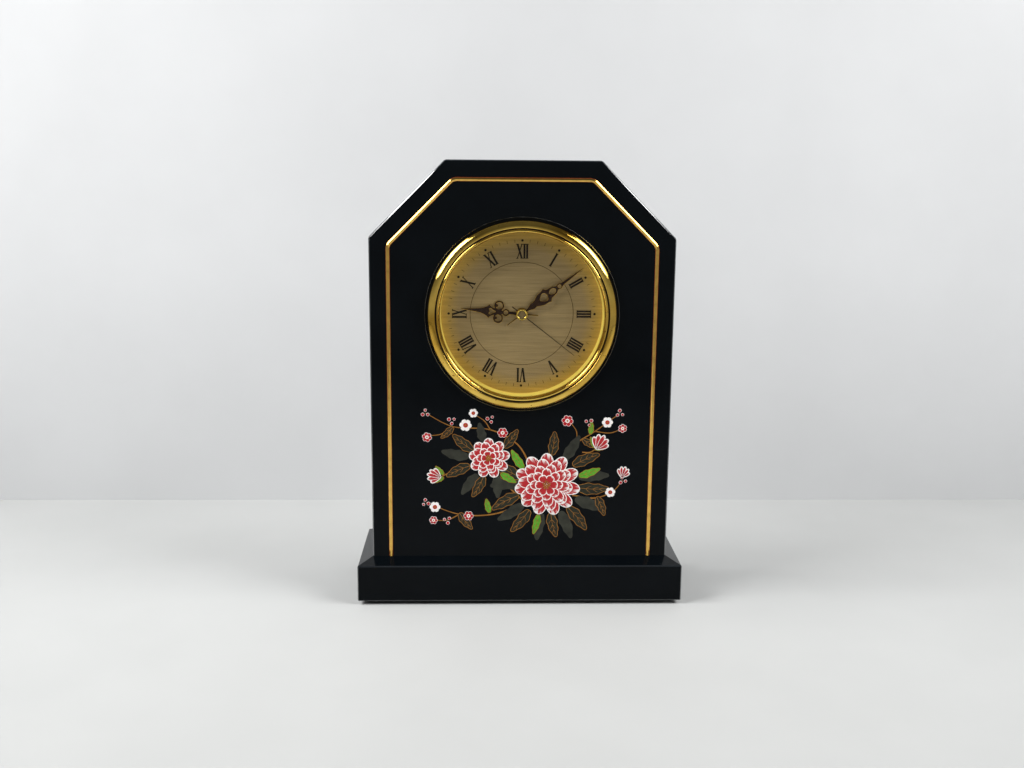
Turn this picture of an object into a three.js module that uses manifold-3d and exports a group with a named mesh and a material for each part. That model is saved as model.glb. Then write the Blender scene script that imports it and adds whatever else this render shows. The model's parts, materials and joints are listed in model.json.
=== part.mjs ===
// Lacquered mantel clock with a drop-in dial unit and a quartz movement.
// Millimetres, +Z up, the dial faces -Y, the origin is under the middle of the clock at table level.
// Places seen "behind" are depths behind the front face of the case.
import * as THREE from 'three';
import { mergeVertices } from 'three/addons/utils/BufferGeometryUtils.js';
import Module from 'manifold-3d';

// Clearances
const fitGap = 0.3;
const runGap = 0.3;
const pressGap = 0.1;
const overshoot = 1;
const weldDistance = 0.0001;

// Case
const bodyWidth = 194;
const bodyDepth = 59;
const bodyHeight = 257;
const shoulderCut = 48;
const boardThickness = 12;
const frontThickness = 9;
const backThickness = 5;
const rebateWidth = 7;
const mitreGap = 0.2;

// Plinth and feet
const plinthOverhang = 9.5;
const plinthBand = 24;
const bevelRise = 4;
const footRadius = 8;
const footHeight = 2.5;
const footInset = 16;

// Gilt groove round the front
const grooveInset = 12;
const grooveDepth = 1.6;
const inlayWidth = 2.4;
const inlayThickness = 0.8;
const grooveBend = 6;

// Access window in the back panel
const windowWidth = 104;
const windowHeight = 100;
const windowBend = 8;

// Case screws
const backScrewRadius = 1.25;
const backScrewHeadRadius = 2.8;
const backScrewHeadHeight = 1.6;
const backScrewGrip = 10;
const backScrewRise = 30;
const backScrewDrop = 25;
const plinthScrewRadius = 1.75;
const plinthScrewHeadRadius = 3.5;
const plinthScrewHeadHeight = 2.2;
const plinthScrewGrip = 14;
const plinthScrewSink = 10;
const plinthScrewSpacing = 16;
const pilotTip = 1;

// Dial unit
const dialDrop = 97;
const bezelRadius = 60.1;
const bezelProud = 5.4;
const bezelRimSlope = 58;
const bezelStepRadius = 55.1;
const bezelStepDepth = 1.1;
const bezelStepHalf = 0.35;
const bezelWall = 0.8;
const recessMargin = 1.7;
const recessDepth = 1.5;
const lipRadius = 52.3;
const lipDepth = 3.4;
const lipOverlap = 2.1;
const ringFootRadius = 52.1;
const glassThickness = 1.8;
const dialThickness = 0.8;
const retainerThickness = 1.2;
const curlThickness = 0.8;
const curlReach = 1.4;
const skirtReach = 2.8;

// Clips that hold the dial unit to the front panel
const clipAngles = [90, 210, 330];
const clipWidth = 10;
const clipFoot = 10;
const clipThickness = 1;
const clipScrewRadius = 1.25;
const clipScrewHeadRadius = 2.4;
const clipScrewHeadHeight = 1.2;
const clipScrewGrip = 5;

// Hands, with the time shown clockwise from twelve
const hourTurn = 275;
const minuteTurn = 52.7;
const secondTurn = 128;
const hourHandLength = 39.4;
const minuteHandLength = 49.3;
const secondHandLength = 43.2;
const hourTailLength = 10.8;
const minuteTailLength = 11.9;
const secondTailLength = 8;
const handThickness = 0.4;
const handGap = 0.6;
const hourHandLift = 1.1;
const hubWall = 1.7;
const handGrid = 1;
const hourStemHalf = 1.1;
const minuteStemHalf = 0.8;
const tailRoot = 0.55;
const tailTip = 0.3;
const pointHalf = 0.15;
const hourEyeHeight = 10.3;
const hourEyeRadius = 2.6;
const hourEyeBore = 1.35;
const scrollHeight = 15;
const scrollOffset = 4;
const scrollRadius = 3.4;
const scrollBore = 2.15;
const scrollCurl = 1.2;
const scrollCurlShift = 1.6;
const minuteEyeHeight = 30;
const minuteEyeBore = 1.1;
const needleTailHalf = 0.35;
const needleHalf = 0.3;
const capRadius = 3.7;
const capThickness = 1;
const capCover = 0.4;

// Arbors and pipes, one inside the other on the hand axis
const arborRadius = 0.5;
const pipeWall = 0.6;
const bushingWall = 1.1;
const bushingProud = 0.5;

// Toothed wheels
const toothTip = 0.18;
const toothRoot = 0.5;
const addendum = 0.7;
const dedendum = 1.1;
const wheelThickness = 1;
const layerGap = 0.7;
const pinionSpill = 0.2;
const rotorLeaves = 6;
const intermediateTeeth = 30;
const intermediateLeaves = 6;
const secondTeeth = 36;
const secondLeaves = 6;
const thirdTeeth = 45;
const thirdLeaves = 6;
const centreTeeth = 48;
const cannonLeaves = 8;
const minuteTeeth = 24;
const minuteLeaves = 8;
const hourTeeth = 32;
const knobLeaves = 8;
const rotorModule = 0.4;
const intermediateModule = 0.4;
const centreModule = 0.4;
const minuteModule = 0.5;
const thirdAngle = 60;
const intermediateAngle = 200;
const rotorAngle = 170;
const minuteAngle = 340;
const minutePostRadius = 0.45;
const clutchThickness = 0.3;
const clutchRadius = 3.5;

// Movement housing
const plateThickness = 2;
const middleThickness = 1.2;
const coverWall = 1;
const rearWall = 1.2;
const wheelMargin = 2.3;
const plateMargin = 6.2;
const pivotDepth = 0.8;
const spacerRadius = 1.5;
const spacerInset = 2.5;
const earReach = 8;
const earHeight = 10;
const movementScrewRadius = 1;
const movementScrewHeadRadius = 2;
const movementScrewHeadHeight = 1.2;

// Setting knob
const knobShaftRadius = 1.2;
const knobRadius = 5.5;
const knobThickness = 4;
const knobRidges = 20;
const knobRidgeDepth = 0.4;

// Stepping motor
const magnetRadius = 2.8;
const magnetThickness = 2.4;
const statorThickness = 1;
const statorBridge = 2.1;
const statorArm = 3;
const statorOuterReach = 10;
const statorInnerReach = 8.4;
const coilRadius = 3;
const coilClear = 1.2;
const coilLength = 11.6;
const coreThickness = 0.8;

// Electronics and cell
const circuitWidth = 8;
const circuitThickness = 1;
const circuitInset = 0.6;
const crystalRadius = 1;
const crystalLength = 6;
const cellRadius = 7.25;
const cellLength = 49.2;
const cellNubRadius = 2.75;
const cellNubLength = 1.3;
const cellRoom = 0.5;
const contactRoom = 1.75;
const contactThickness = 0.4;
const contactWidth = 8;
const contactHeight = 10;

// Facets of round shapes
const ringFacets = 48;
const discFacets = 20;
const smallFacets = 8;
const arcFacets = 3;
const roundSteps = 3;

// Heights and half sizes that follow from the case
const bodyHalf = bodyWidth / 2;
const frontY = -bodyDepth / 2;
const backY = bodyDepth / 2;
const plinthBottom = footHeight;
const plinthFoot = plinthBottom + plinthBand;
const bodyBottom = plinthFoot + bevelRise;
const bodyTop = bodyBottom + bodyHeight;
const dialZ = bodyTop - dialDrop;
const boardFrontY = frontY + frontThickness;
const rebateY = backY - backThickness;
const sideCentreX = bodyHalf - boardThickness / 2;
const lipOfBoard = boardThickness - rebateWidth;

// Depths behind the front face that follow from the dial unit
const glassFront = lipDepth - bezelProud;
const glassBack = glassFront + glassThickness;
const skirtEnd = frontThickness + skirtReach;
const retainerBack = skirtEnd - curlThickness;
const retainerFront = retainerBack - retainerThickness;
const dialFront = retainerFront - dialThickness;
const glassRadius = lipRadius + lipOverlap;
const skirtInner = glassRadius + fitGap;
const skirtOuter = skirtInner + bezelWall;
const holeRadius = skirtOuter + fitGap;
const recessRadius = bezelRadius + recessMargin;

// Radii of the pipes on the hand axis
const cannonBore = arborRadius + runGap;
const cannonRadius = cannonBore + pipeWall;
const hourBore = cannonRadius + runGap;
const hourPipeRadius = hourBore + pipeWall;
const bushingBore = hourPipeRadius + runGap;
const bushingRadius = bushingBore + bushingWall;
const dialHole = bushingRadius + fitGap;
const pivotHole = arborRadius + runGap;

// Depths of the hands
const hourHandBack = dialFront - hourHandLift;
const hourHandFront = hourHandBack - handThickness;
const minuteHandBack = hourHandFront - handGap;
const minuteHandFront = minuteHandBack - handThickness;
const secondHandBack = minuteHandFront - handGap;
const secondHandFront = secondHandBack - handThickness;
const capFront = secondHandBack - capThickness;

// Depths of the wheel layers, from the front plate to the rear wall
const plateBack = retainerBack + plateThickness;
const layerStep = wheelThickness + layerGap;
const hourLayer = plateBack + layerGap;
const minuteLayer = hourLayer + layerStep;
const centreLayer = minuteLayer + layerStep;
const middleFront = centreLayer + layerStep;
const middleBack = middleFront + middleThickness;
const thirdLayer = middleBack + layerGap;
const secondLayer = thirdLayer + layerStep;
const intermediateLayer = secondLayer + layerStep;
const coverInside = intermediateLayer + layerStep;
const coverBack = coverInside + rearWall;

const radians = THREE.MathUtils.degToRad;

// Distance between the axes of two wheels in mesh
function meshDistance(leaves, teeth, module) {
  return (leaves + teeth) * module / 2;
}

// A place on the movement, from another place by angle and distance
function placeFrom(place, angle, distance) {
  const turn = radians(angle);
  return new THREE.Vector2(place.x + distance * Math.cos(turn), place.y + distance * Math.sin(turn));
}

// Places of the wheels round the hand axis, x to the right and y up
const handAxis = new THREE.Vector2(0, 0);
const thirdDistance = meshDistance(thirdLeaves, centreTeeth, centreModule);
const thirdModule = 2 * thirdDistance / (secondLeaves + thirdTeeth);
const thirdPlace = placeFrom(handAxis, thirdAngle, thirdDistance);
const intermediateDistance = meshDistance(intermediateLeaves, secondTeeth, intermediateModule);
const intermediatePlace = placeFrom(handAxis, intermediateAngle, intermediateDistance);
const rotorDistance = meshDistance(rotorLeaves, intermediateTeeth, rotorModule);
const rotorPlace = placeFrom(intermediatePlace, rotorAngle, rotorDistance);
const minuteDistance = meshDistance(cannonLeaves, minuteTeeth, minuteModule);
const minutePlace = placeFrom(handAxis, minuteAngle, minuteDistance);
const hourModule = 2 * minuteDistance / (minuteLeaves + hourTeeth);
const knobPlace = placeFrom(minutePlace, minuteAngle, meshDistance(knobLeaves, minuteTeeth, minuteModule));

// Outline of the movement round the hand axis
const centreTipRadius = centreTeeth * centreModule / 2 + addendum * centreModule;
const wheelFloor = -centreTipRadius - wheelMargin;
const bayTop = wheelFloor - coverWall;
const bayHeight = 2 * (cellRadius + cellRoom);
const bayBottom = bayTop - bayHeight;
const movementBottom = bayBottom - coverWall;
const middleTop = thirdPlace.y + plateMargin;
const coilZ = middleTop + coilRadius + coilClear;
const coverCeiling = coilZ + coilRadius + wheelMargin;
const movementTop = coverCeiling + coverWall;
const innerHalf = (cellLength + cellNubLength) / 2 + contactRoom;
const movementHalf = innerHalf + coverWall;
const cellBehind = plateBack + cellRoom + cellRadius;
const cellZ = bayBottom + cellRoom + cellRadius;

// Finishes
function finish(color, roughness, metalness) {
  return new THREE.MeshStandardMaterial({ color, roughness, metalness });
}
const lacquer = finish('#0d0e10', 0.12, 0);
const board = finish('#1a1714', 0.6, 0);
const gilt = finish('#c99a45', 0.3, 1);
const polishedBrass = finish('#d8b24a', 0.15, 1);
const brushedGold = finish('#a08a58', 0.45, 0.8);
const clearGlass = finish('#e8eef0', 0.05, 0);
const darkHand = finish('#3a2416', 0.35, 0.6);
const steel = finish('#b9bcc0', 0.3, 1);
const zincPlate = finish('#9aa0a4', 0.4, 1);
const blackPlastic = finish('#17181a', 0.55, 0);
const whitePlastic = finish('#e6e3da', 0.5, 0);
const amberPlastic = finish('#c9a66a', 0.5, 0);
const copperWire = finish('#b06a35', 0.4, 0.8);
const circuitGreen = finish('#1f5b3a', 0.5, 0);
const cellJacket = finish('#2b2d33', 0.4, 0.2);
const rubber = finish('#1b1b1b', 0.9, 0);

const wasm = await Module();
wasm.setup();

// Six times the volume of the tetrahedron from the origin to a triangle
function cornerVolume(points, a, b, c) {
  const first = new THREE.Vector3().fromBufferAttribute(points, a);
  const second = new THREE.Vector3().fromBufferAttribute(points, b);
  const third = new THREE.Vector3().fromBufferAttribute(points, c);
  return first.dot(second.cross(third));
}

// A closed geometry as a solid that can be joined and cut, with its faces outward
function solidOf(geometry) {
  const bare = geometry.clone();
  bare.deleteAttribute('normal');
  bare.deleteAttribute('uv');
  const welded = mergeVertices(bare, weldDistance);
  const points = welded.attributes.position;
  const corners = welded.index.array;
  const triangles = [];
  let volume = 0;
  for (let i = 0; i < corners.length; i += 3) {
    const [a, b, c] = corners.slice(i, i + 3);
    if (a === b || b === c || c === a) continue;
    triangles.push([a, b, c]);
    volume += cornerVolume(points, a, b, c);
  }
  const outward = volume > 0 ? triangles : triangles.map(([a, b, c]) => [a, c, b]);
  const vertProperties = new Float32Array(points.array);
  const triVerts = new Uint32Array(outward.flat());
  return new wasm.Manifold(new wasm.Mesh({ numProp: 3, vertProperties, triVerts }));
}

// A solid back as a geometry
function geometryOf(solid) {
  const mesh = solid.getMesh();
  const geometry = new THREE.BufferGeometry();
  geometry.setAttribute('position', new THREE.BufferAttribute(new Float32Array(mesh.vertProperties), 3));
  geometry.setIndex(new THREE.BufferAttribute(new Uint32Array(mesh.triVerts), 1));
  geometry.computeVertexNormals();
  return geometry;
}

function join(...solids) {
  return solids.reduce((whole, piece) => whole.add(piece));
}

function cut(solid, ...tools) {
  return tools.reduce((whole, tool) => whole.subtract(tool), solid);
}

// A box between two corners
function block(x0, x1, y0, y1, z0, z1) {
  const box = new THREE.BoxGeometry(x1 - x0, y1 - y0, z1 - z0);
  box.translate((x0 + x1) / 2, (y0 + y1) / 2, (z0 + z1) / 2);
  return solidOf(box);
}

// A round bar along Y
function bar(place, radius, y0, y1, facets = discFacets) {
  const cylinder = new THREE.CylinderGeometry(radius, radius, y1 - y0, facets);
  cylinder.translate(place.x, (y0 + y1) / 2, place.y);
  return solidOf(cylinder);
}

// A tube along Y
function tube(place, bore, radius, y0, y1, facets = discFacets) {
  return cut(bar(place, radius, y0, y1, facets), bar(place, bore, y0 - overshoot, y1 + overshoot, facets));
}

// A round bar along Z
function post(x, y, radius, z0, z1, facets = discFacets) {
  const cylinder = new THREE.CylinderGeometry(radius, radius, z1 - z0, facets);
  cylinder.rotateX(Math.PI / 2);
  cylinder.translate(x, y, (z0 + z1) / 2);
  return solidOf(cylinder);
}

// A round bar along X
function rod(y, z, radius, x0, x1, facets = discFacets) {
  const cylinder = new THREE.CylinderGeometry(radius, radius, x1 - x0, facets);
  cylinder.rotateZ(Math.PI / 2);
  cylinder.translate((x0 + x1) / 2, y, z);
  return solidOf(cylinder);
}

// A flat outline in X and Z with a thickness along Y
function sheet(shape, y0, y1) {
  const options = { depth: y1 - y0, bevelEnabled: false, curveSegments: arcFacets };
  const plate = new THREE.ExtrudeGeometry(shape, options);
  plate.rotateX(Math.PI / 2);
  plate.translate(0, y1, 0);
  return solidOf(plate);
}

// A ring turned round the Y axis from a closed profile of radius and depth
function turned(profile, facets = ringFacets) {
  const points = profile.map(([radius, depth]) => new THREE.Vector2(radius, depth));
  return solidOf(new THREE.LatheGeometry([...points, points[0]], facets));
}

// Outline of a toothed wheel with one tooth centred at the given turn
function toothedOutline(teeth, module, turn, place) {
  const pitchRadius = teeth * module / 2;
  const tip = pitchRadius + addendum * module;
  const root = pitchRadius - dedendum * module;
  const half = Math.PI / teeth;
  const corners = [[root, -toothRoot], [tip, -toothTip], [tip, toothTip], [root, toothRoot]];
  const points = [];
  for (let tooth = 0; tooth < teeth; tooth += 1) {
    for (const [radius, share] of corners) {
      const angle = turn + half * (2 * tooth + share);
      points.push(new THREE.Vector2(place.x + radius * Math.cos(angle), place.y + radius * Math.sin(angle)));
    }
  }
  return new THREE.Shape(points);
}

function wheel(teeth, module, turn, place, y0, y1) {
  return sheet(toothedOutline(teeth, module, turn, place), y0, y1);
}

// Turn of a driven wheel whose gap meets a tooth of the driver
function meshTurn(driverTeeth, driverTurn, driverPlace, teeth, place) {
  const line = Math.atan2(place.y - driverPlace.y, place.x - driverPlace.x);
  const offset = driverTurn - line;
  return line + Math.PI - offset * driverTeeth / teeth + Math.PI / teeth;
}

// The clipped outline of the case, drawn in by a distance from its edge, from the right foot to the left foot
function caseCorners(inset, bottom) {
  const draw = inset * Math.tan(Math.PI / 8);
  const right = [
    new THREE.Vector2(bodyHalf - inset, bottom),
    new THREE.Vector2(bodyHalf - inset, bodyTop - shoulderCut - draw),
    new THREE.Vector2(bodyHalf - shoulderCut - draw, bodyTop - inset),
  ];
  const left = right.map((corner) => new THREE.Vector2(-corner.x, corner.y)).reverse();
  return [...right, ...left];
}

// Adds a run of corners to a path, rounding each one between the two ends
function addRoundedRun(path, corners, radius) {
  for (let i = 1; i < corners.length - 1; i += 1) {
    const back = corners[i - 1].clone().sub(corners[i]).normalize();
    const ahead = corners[i + 1].clone().sub(corners[i]).normalize();
    const halfAngle = Math.acos(back.dot(ahead)) / 2;
    const middle = back.clone().add(ahead).normalize();
    const centre = corners[i].clone().addScaledVector(middle, radius / Math.sin(halfAngle));
    const start = corners[i].clone().addScaledVector(back, radius / Math.tan(halfAngle)).sub(centre);
    const end = corners[i].clone().addScaledVector(ahead, radius / Math.tan(halfAngle)).sub(centre);
    const clockwise = back.cross(ahead) > 0;
    path.lineTo(centre.x + start.x, centre.y + start.y);
    path.absarc(centre.x, centre.y, radius, start.angle(), end.angle(), clockwise);
  }
  const last = corners[corners.length - 1];
  path.lineTo(last.x, last.y);
}

// A band of even width that follows the case outline, open at the bottom
function bandShape(inset, width, bend, bottom) {
  const outer = caseCorners(inset - width / 2, bottom);
  const inner = caseCorners(inset + width / 2, bottom).reverse();
  const shape = new THREE.Shape();
  shape.moveTo(outer[0].x, outer[0].y);
  addRoundedRun(shape, outer, bend + width / 2);
  shape.lineTo(inner[0].x, inner[0].y);
  addRoundedRun(shape, inner, bend - width / 2);
  return shape;
}

// A rectangle with round corners about a centre height
function windowShape(width, height, bend, centreZ) {
  const side = width / 2;
  const bottom = centreZ - height / 2;
  const top = centreZ + height / 2;
  const corners = [[side, centreZ], [side, top], [-side, top], [-side, bottom], [side, bottom],
    [side, centreZ]];
  const shape = new THREE.Shape();
  shape.moveTo(side, centreZ);
  addRoundedRun(shape, corners.map(([x, z]) => new THREE.Vector2(x, z)), bend);
  return shape;
}

// Points of a hand outline, from steps of the grid that the hands are drawn on
function drawn(...points) {
  return points.map(([x, z]) => [x * handGrid, z * handGrid]);
}

// A flat hand outline: smooth runs up the right side to the tip, mirrored down the left
function mirroredShape(...runs) {
  const right = runs.map((run) => new THREE.SplineCurve(run.map(([x, z]) => new THREE.Vector2(x, z))));
  const side = right.flatMap((curve, i) => {
    const points = curve.getPoints(2 * (runs[i].length - 1));
    return i === 0 ? points : points.slice(1);
  });
  const otherSide = side.map((point) => new THREE.Vector2(-point.x, point.y)).reverse();
  return new THREE.Shape([...side, ...otherSide]);
}

function addPiece(group, name, solid, material) {
  const mesh = new THREE.Mesh(geometryOf(solid), material);
  mesh.name = name;
  group.add(mesh);
}

const clock = new THREE.Group();
const dialUnit = new THREE.Group();
dialUnit.position.set(0, frontY, dialZ);
clock.add(dialUnit);

// Screw places of the case
const backScrewX = bodyHalf - lipOfBoard - rebateWidth / 2;
const backScrewHeights = { lower: bodyBottom + backScrewRise, upper: bodyTop - shoulderCut - backScrewDrop };
const plinthScrewDepths = { front: -plinthScrewSpacing / 2, rear: plinthScrewSpacing / 2 };
const sides = { left: -1, right: 1 };
const ends = { front: -1, rear: 1 };

// Screws of the dial clips and of the movement
const clipInner = holeRadius + fitGap;
const clipOuter = clipInner + clipFoot;
const clipScrewPlace = (angle) => placeFrom(handAxis, angle, clipInner + clipFoot / 2);
const movementScrewPlaces = {
  left: new THREE.Vector2(-movementHalf - earReach / 2, 0),
  right: new THREE.Vector2(movementHalf + earReach / 2, 0),
};

// Front panel: clipped outline, round hole with a shallow recess, groove and pilot holes
function frontPanel() {
  const panel = sheet(new THREE.Shape(caseCorners(0, bodyBottom)), frontY, boardFrontY);
  const dialPlace = new THREE.Vector2(0, dialZ);
  const hole = bar(dialPlace, holeRadius, frontY - overshoot, boardFrontY + overshoot, ringFacets);
  const recess = bar(dialPlace, recessRadius, frontY - overshoot, frontY + recessDepth, ringFacets);
  const band = bandShape(grooveInset, inlayWidth + 2 * fitGap, grooveBend, bodyBottom - overshoot);
  const groove = sheet(band, frontY - overshoot, frontY + grooveDepth);
  const pilots = clipAngles.map((angle) => {
    const place = clipScrewPlace(angle).add(dialPlace);
    const start = boardFrontY - clipScrewGrip - pilotTip;
    return bar(place, clipScrewRadius + fitGap, start, boardFrontY + overshoot, smallFacets);
  });
  return cut(panel, hole, recess, groove, ...pilots);
}

// Side board: mitred at the shoulder, rebated for the back panel, drilled for its screws
function sideBoard(side) {
  const outer = caseCorners(0, bodyBottom);
  const inner = caseCorners(boardThickness, bodyBottom);
  const slip = new THREE.Vector2(0, -mitreGap);
  const corners = [outer[0], outer[1].clone().add(slip), inner[1].clone().add(slip), inner[0]];
  const shape = new THREE.Shape(corners.map((corner) => new THREE.Vector2(side * corner.x, corner.y)));
  const inside = bodyHalf - lipOfBoard;
  const [near, far] = [side * inside, side * (inside - rebateWidth - overshoot)].sort((a, b) => a - b);
  const rebate = block(near, far, rebateY, backY + overshoot, bodyBottom - overshoot, bodyTop);
  const backPilots = Object.values(backScrewHeights).map((z) => {
    const place = new THREE.Vector2(side * backScrewX, z);
    const start = rebateY - backScrewGrip - pilotTip;
    return bar(place, backScrewRadius + fitGap, start, rebateY + overshoot, smallFacets);
  });
  const plinthPilots = Object.values(plinthScrewDepths).map((y) => {
    const end = bodyBottom + plinthScrewGrip + pilotTip;
    return post(side * sideCentreX, y, plinthScrewRadius + fitGap, bodyBottom - overshoot, end, smallFacets);
  });
  return cut(sheet(shape, boardFrontY, backY), rebate, ...backPilots, ...plinthPilots);
}

// Space that the back panel fills, taken out of the shoulder and top boards
function backRebate() {
  return sheet(new THREE.Shape(caseCorners(lipOfBoard, bodyBottom)), rebateY, backY + overshoot);
}

// Shoulder board: mitred at both ends
function shoulderBoard(side) {
  const outer = caseCorners(0, bodyBottom);
  const inner = caseCorners(boardThickness, bodyBottom);
  const along = outer[2].clone().sub(outer[1]).normalize().multiplyScalar(mitreGap);
  const corners = [
    outer[1].clone().add(along),
    outer[2].clone().sub(along),
    inner[2].clone().sub(along),
    inner[1].clone().add(along),
  ];
  const shape = new THREE.Shape(corners.map((corner) => new THREE.Vector2(side * corner.x, corner.y)));
  return cut(sheet(shape, boardFrontY, backY), backRebate());
}

// Top board: mitred at both ends
function topBoard() {
  const outer = caseCorners(0, bodyBottom);
  const inner = caseCorners(boardThickness, bodyBottom);
  const slip = new THREE.Vector2(mitreGap, 0);
  const corners = [
    outer[2].clone().sub(slip),
    outer[3].clone().add(slip),
    inner[3].clone().add(slip),
    inner[2].clone().sub(slip),
  ];
  return cut(sheet(new THREE.Shape(corners), boardFrontY, backY), backRebate());
}

// Back panel: fits in the rebate, with an access window and screw holes
function backPanel() {
  const panel = sheet(new THREE.Shape(caseCorners(lipOfBoard + fitGap, bodyBottom)), rebateY, backY);
  const window = windowShape(windowWidth, windowHeight, windowBend, dialZ);
  const opening = sheet(window, rebateY - overshoot, backY + overshoot);
  const holes = Object.values(sides).flatMap((side) => Object.values(backScrewHeights).map((z) => {
    const place = new THREE.Vector2(side * backScrewX, z);
    return bar(place, backScrewRadius + fitGap, rebateY - overshoot, backY + overshoot, smallFacets);
  }));
  return cut(panel, opening, ...holes);
}

// Plinth: an upright band under a bevel on all four sides, with sunk screw holes from below
function plinth() {
  const wide = bodyWidth + 2 * plinthOverhang;
  const deep = bodyDepth + 2 * plinthOverhang;
  const base = block(-wide / 2, wide / 2, -deep / 2, deep / 2, plinthBottom, bodyBottom);
  const reach = wide + deep;
  const bevelAngle = Math.atan2(bevelRise, plinthOverhang);
  const bevels = [0, 1, 2, 3].map((quarter) => {
    const edge = quarter % 2 === 0 ? wide / 2 : deep / 2;
    const tool = new THREE.BoxGeometry(reach, reach, reach);
    tool.translate(reach / 2, 0, reach / 2);
    tool.rotateY(bevelAngle - Math.PI / 2);
    tool.translate(edge, 0, plinthFoot);
    tool.rotateZ(quarter * Math.PI / 2);
    return solidOf(tool);
  });
  const holes = Object.values(sides).flatMap((side) => Object.values(plinthScrewDepths).flatMap((y) => [
    post(side * sideCentreX, y, plinthScrewRadius + fitGap, plinthBottom - overshoot,
      bodyBottom + overshoot, smallFacets),
    post(side * sideCentreX, y, plinthScrewHeadRadius + 2 * fitGap, plinthBottom - overshoot,
      plinthBottom + plinthScrewSink, smallFacets),
  ]));
  return cut(base, ...bevels, ...holes);
}

function addCase() {
  addPiece(clock, 'front_panel', frontPanel(), lacquer);
  const inlayBand = bandShape(grooveInset, inlayWidth, grooveBend, bodyBottom);
  const inlayBack = frontY + grooveDepth;
  addPiece(clock, 'gilt_inlay', sheet(inlayBand, inlayBack - inlayThickness, inlayBack), gilt);
  for (const [name, side] of Object.entries(sides)) {
    addPiece(clock, `${name}_side_board`, sideBoard(side), lacquer);
    addPiece(clock, `${name}_shoulder_board`, shoulderBoard(side), lacquer);
  }
  addPiece(clock, 'top_board', topBoard(), lacquer);
  addPiece(clock, 'back_panel', backPanel(), board);
  addPiece(clock, 'plinth', plinth(), lacquer);
}

function addCaseScrewsAndFeet() {
  const footX = bodyHalf + plinthOverhang - footInset;
  const footY = bodyDepth / 2 + plinthOverhang - footInset;
  for (const [sideName, side] of Object.entries(sides)) {
    for (const [level, z] of Object.entries(backScrewHeights)) {
      const place = new THREE.Vector2(side * backScrewX, z);
      const shank = bar(place, backScrewRadius, rebateY - backScrewGrip, backY, smallFacets);
      const head = bar(place, backScrewHeadRadius, backY, backY + backScrewHeadHeight, smallFacets);
      addPiece(clock, `back_screw_${level}_${sideName}`, join(shank, head), steel);
    }
    for (const [end, y] of Object.entries(plinthScrewDepths)) {
      const seat = plinthBottom + plinthScrewSink;
      const x = side * sideCentreX;
      const shank = post(x, y, plinthScrewRadius, seat, bodyBottom + plinthScrewGrip, smallFacets);
      const head = post(x, y, plinthScrewHeadRadius, seat - plinthScrewHeadHeight, seat, smallFacets);
      addPiece(clock, `plinth_screw_${end}_${sideName}`, join(shank, head), steel);
    }
    for (const [end, sign] of Object.entries(ends)) {
      const foot = post(side * footX, sign * footY, footRadius, 0, footHeight);
      addPiece(clock, `foot_${end}_${sideName}`, foot, rubber);
    }
  }
}

// A quarter of an ellipse in a turned profile, from one end of its round to the other
function quarterRound(centreRadius, centreDepth, width, height, startAngle) {
  return Array.from({ length: roundSteps + 1 }, (_, i) => {
    const angle = startAngle + Math.PI / 2 * i / roundSteps;
    return [centreRadius + width * Math.cos(angle), centreDepth - height * Math.sin(angle)];
  });
}

// Crown of the bezel's outer band: an arc that starts steep at the rim and ends flat at the step
function bandCrown(innerRadius) {
  const slope = radians(bezelRimSlope);
  const arcRadius = (bezelRadius - innerRadius) / Math.sin(slope);
  return Array.from({ length: roundSteps + 1 }, (_, i) => {
    const angle = slope * (1 - i / roundSteps);
    return [innerRadius + arcRadius * Math.sin(angle), arcRadius * (1 - Math.cos(angle)) - bezelProud];
  });
}

// Bezel: crowned outer band, step, round lip over the glass, and a skirt rolled over the retaining plate
function bezel() {
  const bandInner = bezelStepRadius + bezelStepHalf;
  const lipOuter = bezelStepRadius - bezelStepHalf;
  const lipCrown = (lipOuter + lipRadius) / 2;
  const lipHalf = lipOuter - lipCrown;
  const stepDepth = bezelStepDepth - bezelProud;
  return turned([
    [bezelRadius, recessDepth],
    ...bandCrown(bandInner),
    [bezelStepRadius, stepDepth],
    ...quarterRound(lipCrown, stepDepth, lipHalf, bezelStepDepth, 0),
    ...quarterRound(lipCrown, glassFront, lipHalf, lipDepth, Math.PI / 2).slice(1),
    [skirtInner, glassFront],
    [skirtInner, retainerBack],
    [skirtInner - curlReach, retainerBack],
    [skirtInner - curlReach, skirtEnd],
    [skirtOuter, skirtEnd],
    [skirtOuter, recessDepth],
  ]);
}

// Retaining plate: holds dial, ring and glass in the bezel and carries the movement
function retainingPlate() {
  const plate = tube(handAxis, dialHole, glassRadius, retainerFront, retainerBack, ringFacets);
  const holes = Object.values(movementScrewPlaces).map((place) => {
    return bar(place, movementScrewRadius + fitGap, retainerFront - overshoot,
      retainerBack + overshoot, smallFacets);
  });
  return cut(plate, ...holes);
}

// Clip: a foot screwed to the panel and a finger over the rolled skirt
function mountingClip() {
  const finger = block(skirtInner - curlReach, clipOuter, skirtEnd, skirtEnd + clipThickness,
    -clipWidth / 2, clipWidth / 2);
  const foot = block(clipInner, clipOuter, frontThickness, skirtEnd, -clipWidth / 2, clipWidth / 2);
  const hole = bar(clipScrewPlace(0), clipScrewRadius + fitGap, frontThickness - overshoot,
    skirtEnd + clipThickness + overshoot, smallFacets);
  return cut(join(foot, finger), hole);
}

function clipScrew() {
  const seat = skirtEnd + clipThickness;
  const shank = bar(clipScrewPlace(0), clipScrewRadius, frontThickness - clipScrewGrip, seat, smallFacets);
  const head = bar(clipScrewPlace(0), clipScrewHeadRadius, seat, seat + clipScrewHeadHeight, smallFacets);
  return join(shank, head);
}

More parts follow.
